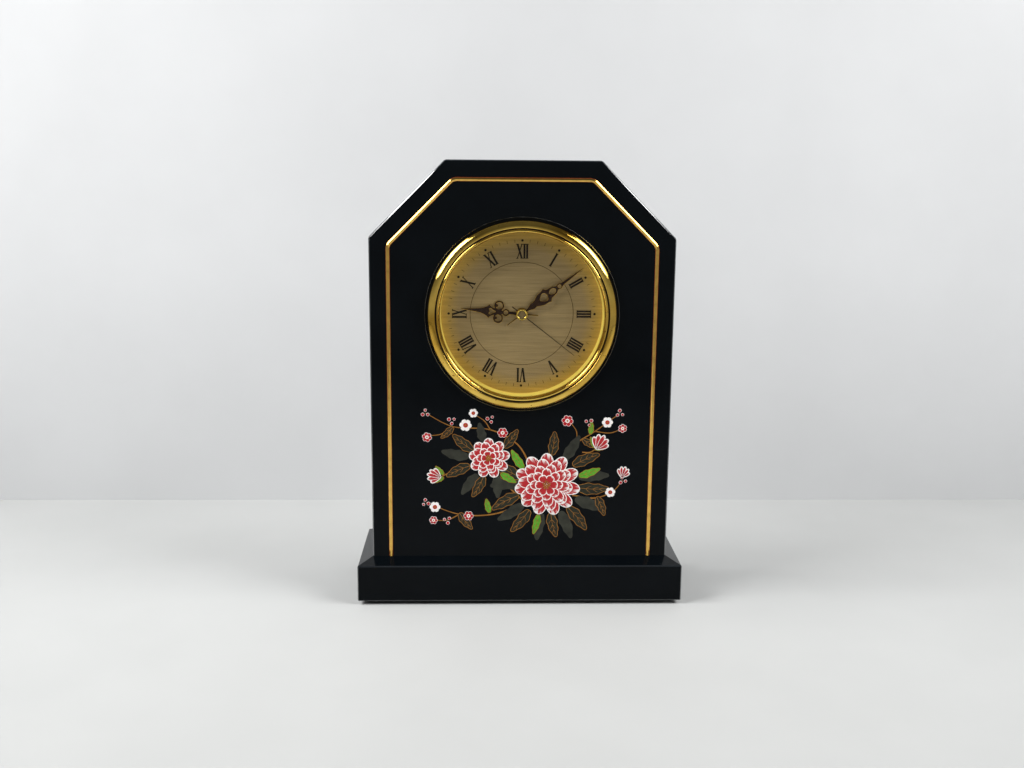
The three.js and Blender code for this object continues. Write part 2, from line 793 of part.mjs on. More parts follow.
function addDialUnit() {
  addPiece(dialUnit, 'bezel', bezel(), polishedBrass);
  addPiece(dialUnit, 'glass', bar(handAxis, glassRadius, glassFront, glassBack, ringFacets), clearGlass);
  const ring = turned([[glassRadius, dialFront], [glassRadius, glassBack], [lipRadius, glassBack],
    [ringFootRadius, dialFront]]);
  addPiece(dialUnit, 'inner_ring', ring, polishedBrass);
  const dial = tube(handAxis, dialHole, glassRadius, dialFront, retainerFront, ringFacets);
  addPiece(dialUnit, 'dial_plate', dial, brushedGold);
  addPiece(dialUnit, 'retaining_plate', retainingPlate(), zincPlate);
  clipAngles.forEach((angle, i) => {
    const turnedGroup = new THREE.Group();
    turnedGroup.rotation.y = -radians(angle);
    addPiece(turnedGroup, `mounting_clip_${i + 1}`, mountingClip(), zincPlate);
    addPiece(turnedGroup, `clip_screw_${i + 1}`, clipScrew(), steel);
    dialUnit.add(turnedGroup);
  });
}

// A hand is drawn pointing up and turned clockwise to the time shown
function addHand(name, solid, turn, material) {
  const turnedGroup = new THREE.Group();
  turnedGroup.rotation.y = radians(turn);
  addPiece(turnedGroup, name, solid, material);
  dialUnit.add(turnedGroup);
}

// Hub with a bore that fits its pipe, and a plain tapered tail
function hubAndTail(bore, tailLength, front, back) {
  const hub = bar(handAxis, bore + hubWall, front, back);
  const tail = new THREE.Shape([[tailRoot, -bore], [-tailRoot, -bore], [-tailTip, -tailLength],
    [tailTip, -tailLength]]
    .map(([x, z]) => new THREE.Vector2(x, z)));
  return join(hub, sheet(tail, front, back));
}

// Hour hand: an eyelet, two scrolls and a pierced spade with a long point
function hourHand() {
  const [front, back] = [hourHandFront, hourHandBack];
  const bore = hourPipeRadius + pressGap;
  const spade = mirroredShape(
    [[hourStemHalf, bore], ...drawn([1, 8.4], [1.1, 12], [1.6, 15.4], [2.3, 18], [3.1, 19.8], [4.6, 21.3])],
    [...drawn([4.6, 21.3], [3.2, 22.8], [2.3, 24.5], [1.6, 26.8], [1, 31]), [pointHalf, hourHandLength]],
  );
  const heart = mirroredShape(drawn([0.2, 17], [0.7, 18.4], [1.9, 20.2], [1.4, 21.2], [0.2, 20.4]));
  const eyePlace = new THREE.Vector2(0, hourEyeHeight);
  const scrolls = [-1, 1].map((side) => {
    const place = new THREE.Vector2(side * scrollOffset, scrollHeight);
    const curlPlace = new THREE.Vector2(side * scrollOffset, scrollHeight + scrollCurlShift);
    return join(tube(place, scrollBore, scrollRadius, front, back, discFacets),
      bar(curlPlace, scrollCurl, front, back, smallFacets));
  });
  const solid = join(hubAndTail(bore, hourTailLength, front, back), sheet(spade, front, back), ...scrolls,
    bar(eyePlace, hourEyeRadius, front, back, smallFacets));
  const eye = bar(eyePlace, hourEyeBore, front - overshoot, back + overshoot, smallFacets);
  const opening = sheet(heart, front - overshoot, back + overshoot);
  return cut(solid, eye, opening, bar(handAxis, bore, front - overshoot, back + overshoot));
}

// Minute hand: a swelling, two pierced ovals with barbs between them, an eyelet and a long point
function minuteHand() {
  const [front, back] = [minuteHandFront, minuteHandBack];
  const bore = cannonRadius + pressGap;
  const body = mirroredShape(
    [[minuteStemHalf, bore], ...drawn([1, 5.2], [2, 7.6], [2.2, 9.2], [2, 10.6], [3, 12.6], [4.2, 15.4],
      [4.4, 18], [5.1, 20.3])],
    [...drawn([5.1, 20.3], [3.4, 21.7], [3.1, 24], [2.6, 26.4], [1.5, 28.2], [2, 30.2], [1.2, 32.2],
      [0.9, 37]), [pointHalf, minuteHandLength]],
  );
  const holes = [
    mirroredShape(drawn([0.2, 14.7], [1.4, 16], [2.6, 17.8], [2.2, 19.4], [0.2, 20.1])),
    mirroredShape(drawn([0.2, 22], [1.2, 23], [1.7, 24.6], [1.2, 26.1], [0.2, 26.8])),
  ].map((shape) => sheet(shape, front - overshoot, back + overshoot));
  const eyePlace = new THREE.Vector2(0, minuteEyeHeight);
  const eye = bar(eyePlace, minuteEyeBore, front - overshoot, back + overshoot, smallFacets);
  const solid = join(hubAndTail(bore, minuteTailLength, front, back), sheet(body, front, back));
  return cut(solid, ...holes, eye, bar(handAxis, bore, front - overshoot, back + overshoot));
}

// Second hand: a thin needle and tail under a round cap, with a blind bore for its arbor
function secondHand() {
  const corners = [[-needleTailHalf, -secondTailLength], [needleTailHalf, -secondTailLength],
    [needleHalf, 0], [pointHalf, secondHandLength], [-pointHalf, secondHandLength], [-needleHalf, 0]];
  const needle = new THREE.Shape(corners.map(([x, z]) => new THREE.Vector2(x, z)));
  const cap = bar(handAxis, capRadius, capFront, secondHandBack);
  const bore = bar(handAxis, arborRadius + pressGap, capFront + capCover, secondHandBack + overshoot,
    smallFacets);
  return cut(join(sheet(needle, secondHandFront, secondHandBack), cap), bore);
}

function addHands() {
  addHand('hour_hand', hourHand(), hourTurn, darkHand);
  addHand('minute_hand', minuteHand(), minuteTurn, darkHand);
  addHand('second_hand', secondHand(), secondTurn, darkHand);
}

// Front plate of the movement: plate, ears, hand bushing, spacers, minute-wheel post and pivot holes
const spacerPlaces = [-1, 1].flatMap((side) => {
  const x = side * (innerHalf - spacerInset);
  return [new THREE.Vector2(x, wheelFloor + spacerInset), new THREE.Vector2(x, middleTop - spacerInset)];
});

function movementFrontPlate() {
  const ears = Object.values(movementScrewPlaces).map((place) => {
    const reach = earReach / 2 + overshoot;
    return block(place.x - reach, place.x + reach, retainerBack, plateBack, -earHeight / 2, earHeight / 2);
  });
  const outline = block(-movementHalf, movementHalf, retainerBack, plateBack, movementBottom, movementTop);
  const trimmed = ears.map((ear, i) => {
    const side = i === 0 ? -1 : 1;
    const limit = side * (movementHalf + earReach);
    const [near, far] = [limit, limit + side * earReach].sort((a, b) => a - b);
    return cut(ear, block(near, far, retainerBack - overshoot, plateBack + overshoot, -earHeight, earHeight));
  });
  const bushing = bar(handAxis, bushingRadius, dialFront - bushingProud, plateBack);
  const spacers = spacerPlaces.map((place) => {
    return bar(place, spacerRadius, plateBack - overshoot, middleFront, smallFacets);
  });
  const wheelPost = bar(minutePlace, minutePostRadius, plateBack - overshoot,
    minuteLayer + wheelThickness, smallFacets);
  const pivots = [thirdPlace, knobPlace].map((place) => {
    return bar(place, pivotHole, plateBack - pivotDepth - fitGap, plateBack + overshoot, smallFacets);
  });
  const screwHoles = Object.values(movementScrewPlaces).map((place) => {
    return bar(place, movementScrewRadius + fitGap, retainerBack - overshoot,
      plateBack + overshoot, smallFacets);
  });
  const bore = bar(handAxis, bushingBore, dialFront - bushingProud - overshoot, plateBack + overshoot);
  return cut(join(outline, ...trimmed, bushing, ...spacers, wheelPost), ...pivots, ...screwHoles, bore);
}

// Middle plate: carries the motor and the circuit board, with holes for the arbors that pass it
function middlePlate() {
  const edge = innerHalf - fitGap;
  const plate = block(-edge, edge, middleFront, middleBack, wheelFloor + fitGap, middleTop);
  const arborHoles = [handAxis, thirdPlace, intermediatePlace, rotorPlace].map((place) => {
    return bar(place, pivotHole, middleFront - overshoot, middleBack + overshoot, smallFacets);
  });
  const knobHole = bar(knobPlace, knobShaftRadius + runGap, middleFront - overshoot,
    middleBack + overshoot, smallFacets);
  return cut(plate, ...arborHoles, knobHole);
}

// Rear cover: a shell over the wheels and an open bay for the cell
function movementRearCover() {
  const shell = block(-movementHalf, movementHalf, plateBack, coverBack, movementBottom, movementTop);
  const wheelRoom = block(-innerHalf, innerHalf, plateBack - overshoot, coverInside, wheelFloor, coverCeiling);
  const bay = block(-innerHalf, innerHalf, plateBack - overshoot, coverBack + overshoot, bayBottom, bayTop);
  const pivots = [handAxis, thirdPlace, intermediatePlace, rotorPlace].map((place) => {
    return bar(place, pivotHole, coverInside - overshoot, coverInside + pivotDepth + fitGap / 2, smallFacets);
  });
  const knobHole = bar(knobPlace, knobShaftRadius + runGap, coverInside - overshoot,
    coverBack + overshoot, smallFacets);
  return cut(shell, wheelRoom, bay, ...pivots, knobHole);
}

// Rear end of an arbor in its blind hole in the cover
const arborBack = coverInside + pivotDepth;

function addHousing() {
  addPiece(dialUnit, 'movement_front_plate', movementFrontPlate(), blackPlastic);
  addPiece(dialUnit, 'middle_plate', middlePlate(), blackPlastic);
  addPiece(dialUnit, 'movement_rear_cover', movementRearCover(), blackPlastic);
  for (const [name, place] of Object.entries(movementScrewPlaces)) {
    const shank = bar(place, movementScrewRadius, retainerFront + fitGap, plateBack, smallFacets);
    const headEnd = plateBack + movementScrewHeadHeight;
    const head = bar(place, movementScrewHeadRadius, plateBack, headEnd, smallFacets);
    addPiece(dialUnit, `movement_screw_${name}`, join(shank, head), steel);
  }
}

// Going train: rotor, intermediate, second, third and centre wheel, turned so that their teeth mesh
function addGoingTrain() {
  const secondTurnOfTeeth = 0;
  const intermediateLeafTurn = meshTurn(secondTeeth, secondTurnOfTeeth, handAxis, intermediateLeaves,
    intermediatePlace);
  const intermediateTurn = intermediateLeafTurn;
  const rotorTurn = meshTurn(intermediateTeeth, intermediateTurn, intermediatePlace, rotorLeaves, rotorPlace);
  const thirdTurn = meshTurn(secondLeaves, secondTurnOfTeeth, handAxis, thirdTeeth, thirdPlace);
  const centreTurn = meshTurn(thirdLeaves, thirdTurn, thirdPlace, centreTeeth, handAxis);

  const secondArbor = bar(handAxis, arborRadius, capFront + capCover + fitGap, arborBack, smallFacets);
  const secondPinion = wheel(secondLeaves, thirdModule, secondTurnOfTeeth, handAxis,
    thirdLayer - pinionSpill, secondLayer);
  const secondDisc = wheel(secondTeeth, intermediateModule, secondTurnOfTeeth, handAxis,
    secondLayer, secondLayer + wheelThickness);
  addPiece(dialUnit, 'second_wheel', join(secondArbor, secondPinion, secondDisc), whitePlastic);

  const thirdArbor = bar(thirdPlace, arborRadius, plateBack - pivotDepth, arborBack, smallFacets);
  const thirdPinion = wheel(thirdLeaves, centreModule, thirdTurn, thirdPlace,
    centreLayer - pinionSpill, centreLayer + wheelThickness + pinionSpill);
  const thirdDisc = wheel(thirdTeeth, thirdModule, thirdTurn, thirdPlace,
    thirdLayer, thirdLayer + wheelThickness);
  addPiece(dialUnit, 'third_wheel', join(thirdArbor, thirdPinion, thirdDisc), whitePlastic);

  const centreDisc = wheel(centreTeeth, centreModule, centreTurn, handAxis,
    centreLayer, centreLayer + wheelThickness);
  const centreBore = bar(handAxis, cannonRadius + runGap, centreLayer - overshoot,
    centreLayer + wheelThickness + overshoot);
  addPiece(dialUnit, 'centre_wheel', cut(centreDisc, centreBore), amberPlastic);

  const intermediateArbor = bar(intermediatePlace, arborRadius, middleFront + fitGap, arborBack, smallFacets);
  const intermediatePinion = wheel(intermediateLeaves, intermediateModule, intermediateLeafTurn,
    intermediatePlace, secondLayer - pinionSpill, intermediateLayer);
  const intermediateDisc = wheel(intermediateTeeth, rotorModule, intermediateTurn, intermediatePlace,
    intermediateLayer, intermediateLayer + wheelThickness);
  const intermediate = join(intermediateArbor, intermediatePinion, intermediateDisc);
  addPiece(dialUnit, 'intermediate_wheel', intermediate, whitePlastic);

  const rotorArbor = bar(rotorPlace, arborRadius, middleFront + fitGap, arborBack, smallFacets);
  const magnet = bar(rotorPlace, magnetRadius, middleBack + fitGap, middleBack + fitGap + magnetThickness);
  const rotorPinion = wheel(rotorLeaves, rotorModule, rotorTurn, rotorPlace,
    intermediateLayer - pinionSpill, intermediateLayer + wheelThickness + pinionSpill);
  addPiece(dialUnit, 'rotor', join(rotorArbor, magnet, rotorPinion), zincPlate);
}

// Motion work: minute cannon with its clutch spring, minute wheel, hour wheel and setting knob
function addMotionWork() {
  const cannonTurn = 0;
  const minuteWheelTurn = meshTurn(cannonLeaves, cannonTurn, handAxis, minuteTeeth, minutePlace);
  const hourWheelTurn = meshTurn(minuteLeaves, minuteWheelTurn, minutePlace, hourTeeth, handAxis);
  const knobTurn = meshTurn(minuteTeeth, minuteWheelTurn, minutePlace, knobLeaves, knobPlace);

  const cannonEnd = centreLayer + wheelThickness + layerGap / 2;
  const cannonPipe = bar(handAxis, cannonRadius, minuteHandFront, cannonEnd);
  const cannonPinion = wheel(cannonLeaves, minuteModule, cannonTurn, handAxis,
    minuteLayer, minuteLayer + wheelThickness);
  const cannonHole = bar(handAxis, cannonBore, minuteHandFront - overshoot, cannonEnd + overshoot);
  addPiece(dialUnit, 'minute_cannon', cut(join(cannonPipe, cannonPinion), cannonHole), steel);

  const clutchFront = minuteLayer + wheelThickness + (layerGap - clutchThickness) / 2;
  const clutchBack = clutchFront + clutchThickness;
  const clutch = tube(handAxis, cannonRadius + pressGap, clutchRadius, clutchFront, clutchBack);
  addPiece(dialUnit, 'clutch_spring', clutch, steel);

  const minuteDisc = wheel(minuteTeeth, minuteModule, minuteWheelTurn, minutePlace,
    minuteLayer, minuteLayer + wheelThickness);
  const minutePinion = wheel(minuteLeaves, hourModule, minuteWheelTurn, minutePlace,
    hourLayer - pinionSpill, minuteLayer);
  const minuteBore = bar(minutePlace, minutePostRadius + runGap, hourLayer - overshoot,
    minuteLayer + wheelThickness + overshoot, smallFacets);
  addPiece(dialUnit, 'minute_wheel', cut(join(minuteDisc, minutePinion), minuteBore), amberPlastic);

  const hourPipe = bar(handAxis, hourPipeRadius, hourHandFront, hourLayer + wheelThickness);
  const hourDisc = wheel(hourTeeth, hourModule, hourWheelTurn, handAxis,
    hourLayer, hourLayer + wheelThickness);
  const hourHole = bar(handAxis, hourBore, hourHandFront - overshoot, hourLayer + wheelThickness + overshoot);
  addPiece(dialUnit, 'hour_wheel', cut(join(hourPipe, hourDisc), hourHole), amberPlastic);

  const knobFront = coverBack + fitGap;
  const pivot = bar(knobPlace, arborRadius, plateBack - pivotDepth, minuteLayer, smallFacets);
  const shaft = bar(knobPlace, knobShaftRadius, minuteLayer, knobFront, smallFacets);
  const knobGear = wheel(knobLeaves, minuteModule, knobTurn, knobPlace,
    minuteLayer, minuteLayer + wheelThickness);
  const grip = new THREE.Shape(Array.from({ length: 2 * knobRidges }, (_, i) => {
    const angle = Math.PI * i / knobRidges;
    const radius = knobRadius - (i % 2) * knobRidgeDepth;
    return new THREE.Vector2(knobPlace.x + radius * Math.cos(angle), knobPlace.y + radius * Math.sin(angle));
  }));
  const head = sheet(grip, knobFront, knobFront + knobThickness);
  addPiece(dialUnit, 'set_knob', join(pivot, shaft, knobGear, head), whitePlastic);
}

// Stepping motor: a stator plate round the rotor, with the coil on a core across its two arms
function addMotor() {
  const statorBack = middleBack + statorThickness;
  const hole = magnetRadius + runGap + pressGap;
  const left = rotorPlace.x - statorOuterReach;
  const right = rotorPlace.x + statorInnerReach;
  const floor = rotorPlace.y - hole - statorBridge;
  const saddle = rotorPlace.y + hole + statorBridge;
  const armTop = coilZ + statorArm / 2;
  const foot = rotorPlace.x + hole + statorBridge;
  const corners = [[left, armTop], [left, rotorPlace.y], [left + statorArm, floor], [foot, floor],
    [foot, rotorPlace.y], [right, saddle - statorBridge / 2], [right, armTop], [right - statorArm, armTop],
    [right - statorArm, saddle], [left + statorArm, saddle], [left + statorArm, armTop]];
  const shape = new THREE.Shape(corners.map(([x, z]) => new THREE.Vector2(x, z)));
  const plate = sheet(shape, middleBack, statorBack);
  const stator = cut(plate, bar(rotorPlace, hole, middleBack - overshoot, statorBack + overshoot));
  addPiece(dialUnit, 'stator', stator, zincPlate);

  const coreBack = statorBack + coreThickness;
  const core = block(left, right, statorBack, coreBack, coilZ - statorArm / 2, armTop);
  addPiece(dialUnit, 'coil_core', core, steel);
  const coilMiddle = (left + right) / 2;
  const winding = rod((statorBack + coreBack) / 2, coilZ, coilRadius, coilMiddle - coilLength / 2,
    coilMiddle + coilLength / 2);
  const slot = block(left, right, statorBack - pressGap, coreBack + pressGap,
    coilZ - statorArm / 2 - pressGap, armTop + pressGap);
  addPiece(dialUnit, 'coil', cut(winding, slot), copperWire);
}

// Circuit board with its crystal, the two contacts and the cell in its bay
function addElectronics() {
  const boardRight = innerHalf - circuitInset;
  const boardBack = middleBack + circuitThickness;
  const circuit = block(boardRight - circuitWidth, boardRight, middleBack, boardBack,
    wheelFloor + circuitInset, middleTop - circuitInset);
  addPiece(dialUnit, 'circuit_board', circuit, circuitGreen);
  const crystalX = boardRight - circuitWidth / 2;
  const crystalBehind = boardBack + crystalRadius + fitGap / 2;
  const crystal = post(crystalX, crystalBehind, crystalRadius, 0, crystalLength, smallFacets);
  addPiece(dialUnit, 'quartz_crystal', crystal, steel);

  const cellStart = -innerHalf + contactRoom;
  const cellEnd = cellStart + cellLength;
  const can = rod(cellBehind, cellZ, cellRadius, cellStart, cellEnd);
  const nub = rod(cellBehind, cellZ, cellNubRadius, cellEnd, cellEnd + cellNubLength, smallFacets);
  addPiece(dialUnit, 'battery', join(can, nub), cellJacket);

  const half = contactHeight / 2;
  const [contactFront, contactBack] = [cellBehind - contactWidth / 2, cellBehind + contactWidth / 2];
  const plate = [[0, -half], [0, half], [contactThickness, half]];
  const bump = contactRoom - fitGap;
  const spring = [[bump, half / 2], [bump, -half / 2], [contactThickness, -half]];
  const contact = (wall, inward) => sheet(new THREE.Shape([...plate, ...spring]
    .map(([x, z]) => new THREE.Vector2(wall + inward * x, cellZ + z))), contactFront, contactBack);
  addPiece(dialUnit, 'contact_positive', contact(innerHalf, -1), steel);
  addPiece(dialUnit, 'contact_negative', contact(-innerHalf, 1), steel);
}

addCase();
addCaseScrewsAndFeet();
addDialUnit();
addHands();
addHousing();
addGoingTrain();
addMotionWork();
addMotor();
addElectronics();

export default clock;
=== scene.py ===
"""Lacquered mantel clock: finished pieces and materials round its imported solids."""

import json
import math

import bpy
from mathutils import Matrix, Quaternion, Vector


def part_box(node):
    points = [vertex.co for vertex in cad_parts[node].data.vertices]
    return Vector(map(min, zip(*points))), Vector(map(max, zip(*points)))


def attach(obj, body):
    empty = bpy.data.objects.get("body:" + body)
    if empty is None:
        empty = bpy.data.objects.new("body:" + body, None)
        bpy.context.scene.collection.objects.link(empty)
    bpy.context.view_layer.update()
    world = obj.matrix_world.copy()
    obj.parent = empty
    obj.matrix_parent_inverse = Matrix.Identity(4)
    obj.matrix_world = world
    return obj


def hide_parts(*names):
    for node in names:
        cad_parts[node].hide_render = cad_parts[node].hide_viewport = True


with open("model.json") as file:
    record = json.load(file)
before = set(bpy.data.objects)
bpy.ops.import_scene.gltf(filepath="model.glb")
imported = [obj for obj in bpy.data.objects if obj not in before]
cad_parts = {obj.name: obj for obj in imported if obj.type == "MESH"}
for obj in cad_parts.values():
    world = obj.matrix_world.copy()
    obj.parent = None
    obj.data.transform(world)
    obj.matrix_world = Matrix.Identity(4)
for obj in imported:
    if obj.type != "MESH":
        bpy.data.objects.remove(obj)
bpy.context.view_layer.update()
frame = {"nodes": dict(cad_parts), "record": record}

bl_info = {
    "name": "Lacquered mantel clock",
    "version": (1, 0, 0),
    "blender": (4, 5, 0),
    "location": "View3D > Sidebar > Clock",
    "description": "Dresses the packed solids of a lacquered mantel clock",
    "category": "Object",
}

MM = 0.001
WELD = 0.001 * MM
# Least part of a normal along an axis for a face that lies square to it
SQUARE = 0.9
BODY_OF = {node: body for body, nodes in frame["record"]["behaviour"]["bodies"].items() for node in nodes}

# Places of the case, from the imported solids
PANEL_LOW, PANEL_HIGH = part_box("front_panel")
FRONT = PANEL_LOW.y
BOARD_FRONT = PANEL_HIGH.y
FOOT = PANEL_LOW.z
TOP = PANEL_HIGH.z
HALF = PANEL_HIGH.x
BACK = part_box("top_board")[1].y
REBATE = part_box("back_panel")[0].y
SHOULDER = max(v.co.z for v in frame["nodes"]["front_panel"].data.vertices if v.co.x > HALF - WELD)
CLIP = TOP - SHOULDER
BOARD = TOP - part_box("top_board")[0].z

# Places of the dial unit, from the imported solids
BEZEL_LOW, BEZEL_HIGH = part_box("bezel")
DIAL_Z = (BEZEL_LOW.z + BEZEL_HIGH.z) / 2
DIAL_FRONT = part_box("dial_plate")[0].y
BEZEL_RADIUS = BEZEL_HIGH.x
BEZEL_FRONT = BEZEL_LOW.y
GLASS_FRONT, GLASS_BACK = (corner.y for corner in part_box("glass"))
GLASS_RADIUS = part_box("glass")[1].x


def linear(colour):
    """An sRGB hex colour as linear red, green, blue and alpha."""
    parts = [int(colour[i:i + 2], 16) / 255 for i in (1, 3, 5)]
    return tuple(p / 12.92 if p <= 0.04045 else ((p + 0.055) / 1.055) ** 2.4 for p in parts) + (1.0,)


def length(name, description, millimetres):
    """A length that a user may change."""
    return bpy.props.FloatProperty(
        name=name, description=description, default=millimetres * MM, unit="LENGTH"
    )


def tint(name, description, colour):
    """A colour that a user may change."""
    return bpy.props.FloatVectorProperty(
        name=name, description=description, default=linear(colour), size=4, subtype="COLOR"
    )


class ClockSizes(bpy.types.PropertyGroup):
    """Sizes of the finish and of the painted and printed work."""

    case_edge: length("Case edge", "Radius of the rounded arrises of the lacquered case", 0.8)
    plinth_edge: length("Plinth edge", "Radius of the rounded edges of the plinth", 0.6)
    recess_edge: length("Recess edge", "Radius of the edge of the recess round the bezel", 0.35)
    groove_inset: length("Groove inset", "Distance of the gilt groove from the case edge", 12)
    groove_half: length("Groove half width", "Half the width of the gilt bead", 1.26)
    groove_depth: length("Groove depth", "Depth of the foot of the gilt bead below the front", 0.1)
    bead_rise: length("Bead rise", "Height of the gilt bead above its foot", 0.74)
    groove_bend: length("Groove bend", "Radius of the bends of the gilt groove", 6)
    numeral_foot: length("Numeral foot", "Distance of the numerals' feet from the hand axis", 35.4)
    numeral_height: length("Numeral height", "Height of the hour numerals", 9.4)
    ring_radius: length("Ring radius", "Radius of the printed ring inside the numerals", 33.2)
    dot_radius: length("Dot radius", "Radius of the hour dots", 0.8)
    dot_place: length("Dot place", "Distance of the hour dots from the hand axis", 47)
    hand_edge: length("Hand edge", "Width of the gilt edge of the hands", 0.19)
    plastic_edge: length("Moulding edge", "Radius of the edges of the plastic mouldings", 0.4)
    bloom_radius: length("Bloom radius", "Radius of the largest painted flower", 21.5)
    paint_layer: length("Paint layer", "Thickness of one layer of the painted flowers", 0.07)


class ClockColours(bpy.types.PropertyGroup):
    """Colours of the finishes."""

    lacquer: tint("Lacquer", "Black lacquer of the case", "#06090c")
    back_paint: tint("Back paint", "Thin black paint on the back panel", "#171411")
    bare_board: tint("Bare board", "Unpainted fibreboard inside the case", "#8b6d4b")
    gilt: tint("Gilt", "Gold foil on the bead", "#e6b95f")
    brass: tint("Brass", "Polished brass plate of the bezel", "#edc862")
    dial: tint("Dial", "Brushed middle of the dial", "#b6996b")
    dial_edge: tint("Dial edge", "Deeper gold at the edge of the dial", "#c9a455")
    ink: tint("Ink", "Printed numerals", "#1d130b")
    hand: tint("Hands", "Dark enamel of the hands", "#2a170c")
    flower_red: tint("Flower red", "Red enamel of the flowers", "#b30c17")
    flower_white: tint("Flower white", "White enamel of the flowers", "#f7f3f0")
    leaf: tint("Leaf", "Dark wash in the leaves", "#24261a")
    leaf_green: tint("Leaf green", "Bright green leaves", "#58a52c")
    paint_gold: tint("Painted gold", "Gold paint of stems and outlines", "#b67f3e")
    plastic: tint("Plastic", "Black plastic of the movement", "#16171a")
    wheel: tint("Wheels", "White plastic of wheels and knob", "#e4e0d6")
    cell: tint("Cell", "Jacket of the cell", "#24262c")
    backdrop: tint("Backdrop", "Paper behind the clock", "#d1d2d3")
    floor: tint("Floor", "Pale top of the table", "#b3b4b3")


# Selecting and finishing meshes


def clear_selection():
    """Leaves edit mode and deselects every object."""
    if bpy.context.object and bpy.context.object.mode != "OBJECT":
        bpy.ops.object.mode_set(mode="OBJECT")
    bpy.ops.object.select_all(action="DESELECT")


def pick(piece):
    """Makes one object the only selected and the active one."""
    clear_selection()
    piece.select_set(True)
    bpy.context.view_layer.objects.active = piece


def merged_copy(node, name):
    """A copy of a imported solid, with its loose triangles merged and its flat faces joined."""
    piece = bpy.data.objects.new(name, frame["nodes"][node].data.copy())
    piece.data.materials.clear()
    bpy.context.scene.collection.objects.link(piece)
    pick(piece)
    bpy.ops.mesh.customdata_custom_splitnormals_clear()
    bpy.ops.object.mode_set(mode="EDIT")
    bpy.ops.mesh.select_all(action="SELECT")
    bpy.ops.mesh.remove_doubles(threshold=WELD)
    bpy.ops.mesh.dissolve_limited(angle_limit=math.radians(0.5))
    bpy.ops.object.mode_set(mode="OBJECT")
    return piece


def round_edges(piece, width, segments, wanted, material=-1, profile=0.5):
    """Bevels the sharp edges whose middle point is wanted, and may give the bevel a material of its own.

    The profile goes from a flat chamfer at 0.25 to a full round at 0.5.
    """
    pick(piece)
    bpy.ops.object.mode_set(mode="EDIT")
    bpy.ops.mesh.select_mode(type="EDGE")
    bpy.ops.mesh.select_all(action="DESELECT")
    bpy.ops.mesh.edges_select_sharp(sharpness=math.radians(20))
    bpy.ops.object.mode_set(mode="OBJECT")
    points = piece.data.vertices
    # A selected face would select its other edges again
    for face in piece.data.polygons:
        face.select = False
    for edge in piece.data.edges:
        start, end = (points[i].co for i in edge.vertices)
        edge.select = edge.select and wanted((start + end) / 2)
    bpy.ops.object.mode_set(mode="EDIT")
    bpy.ops.mesh.bevel(offset=width, segments=segments, profile=profile, affect="EDGES", material=material)
    bpy.ops.object.mode_set(mode="OBJECT")


def rim_front(piece, width, rise, material):
    """Raises the front of a flat piece inside a rim, and gives rim and sides a material of their own."""
    pick(piece)
    for face in piece.data.polygons:
        face.select = face.normal.y < -SQUARE
    bpy.ops.object.mode_set(mode="EDIT")
    bpy.ops.mesh.select_mode(type="FACE")
    bpy.ops.mesh.inset(thickness=width, depth=rise, use_even_offset=False)
    bpy.ops.object.mode_set(mode="OBJECT")
    for face in piece.data.polygons:
        face.material_index = 0 if face.select or face.normal.y > SQUARE else material


def bevel_all(piece, width, segments):
    """Rounds every sharp edge of a piece."""
    pick(piece)
    bevel = piece.modifiers.new("edge", "BEVEL")
    bevel.width = width
    bevel.segments = segments
    bevel.limit_method = "ANGLE"
    bevel.angle_limit = math.radians(30)
    bpy.ops.object.modifier_apply(modifier=bevel.name)


def carve(piece, tool):
    """Cuts one closed shape out of another."""
    pick(piece)
    cut = piece.modifiers.new("cut", "BOOLEAN")
    cut.operation = "DIFFERENCE"
    cut.solver = "EXACT"
    cut.object = tool
    bpy.ops.object.modifier_apply(modifier=cut.name)
    bpy.data.objects.remove(tool)


def smooth(piece, angle=30):
    """Shades a piece smooth up to an angle between faces, and sharp where two materials meet."""
    pick(piece)
    bpy.ops.object.shade_smooth_by_angle(angle=math.radians(angle))
    finishes = {}
    for face in piece.data.polygons:
        for key in face.edge_keys:
            finishes.setdefault(key, set()).add(face.material_index)
    for edge in piece.data.edges:
        if len(finishes.get(edge.key, ())) > 1:
            edge.use_edge_sharp = True


def face_outward():
    """Merges doubles and turns the faces of the active mesh outward, from edit mode."""
    bpy.ops.mesh.select_all(action="SELECT")
    bpy.ops.mesh.remove_doubles(threshold=WELD)
    bpy.ops.mesh.normals_make_consistent(inside=False)
    bpy.ops.object.mode_set(mode="OBJECT")


def join(name, pieces):
    """Joins pieces into one."""
    clear_selection()
    for piece in pieces:
        piece.select_set(True)
    bpy.context.view_layer.objects.active = pieces[0]
    bpy.ops.object.join()
    pieces[0].name = name
    return pieces[0]


def dress(piece, body, slot, *nodes):
    """Lets a finished piece ride on a body and hides the solids that it stands for; the slot, the name of
    its finish, is not used.
    """
    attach(piece, body)
    if nodes:
        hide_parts(*nodes)


def paint(piece, *materials):
    """Gives a new piece its materials in order."""
    for material in materials:
        piece.data.materials.append(material)


# Shaping


def from_axis(spot):
    """Distance of a point from the hand axis."""
    return math.hypot(spot.x, spot.z - DIAL_Z)


def prism(name, outline, front, back):
    """A closed shape from an outline of x and z, between two depths."""
    clear_selection()
    bpy.ops.mesh.primitive_circle_add(vertices=len(outline), fill_type="NGON")
    piece = bpy.context.active_object
    piece.name = name
    for vertex, (x, z) in zip(piece.data.vertices, outline):
        vertex.co = (x, front, z)
    bpy.ops.object.mode_set(mode="EDIT")
    bpy.ops.mesh.select_all(action="SELECT")
    bpy.ops.mesh.extrude_region_move(TRANSFORM_OT_translate={"value": (0, back - front, 0)})
    face_outward()
    return piece


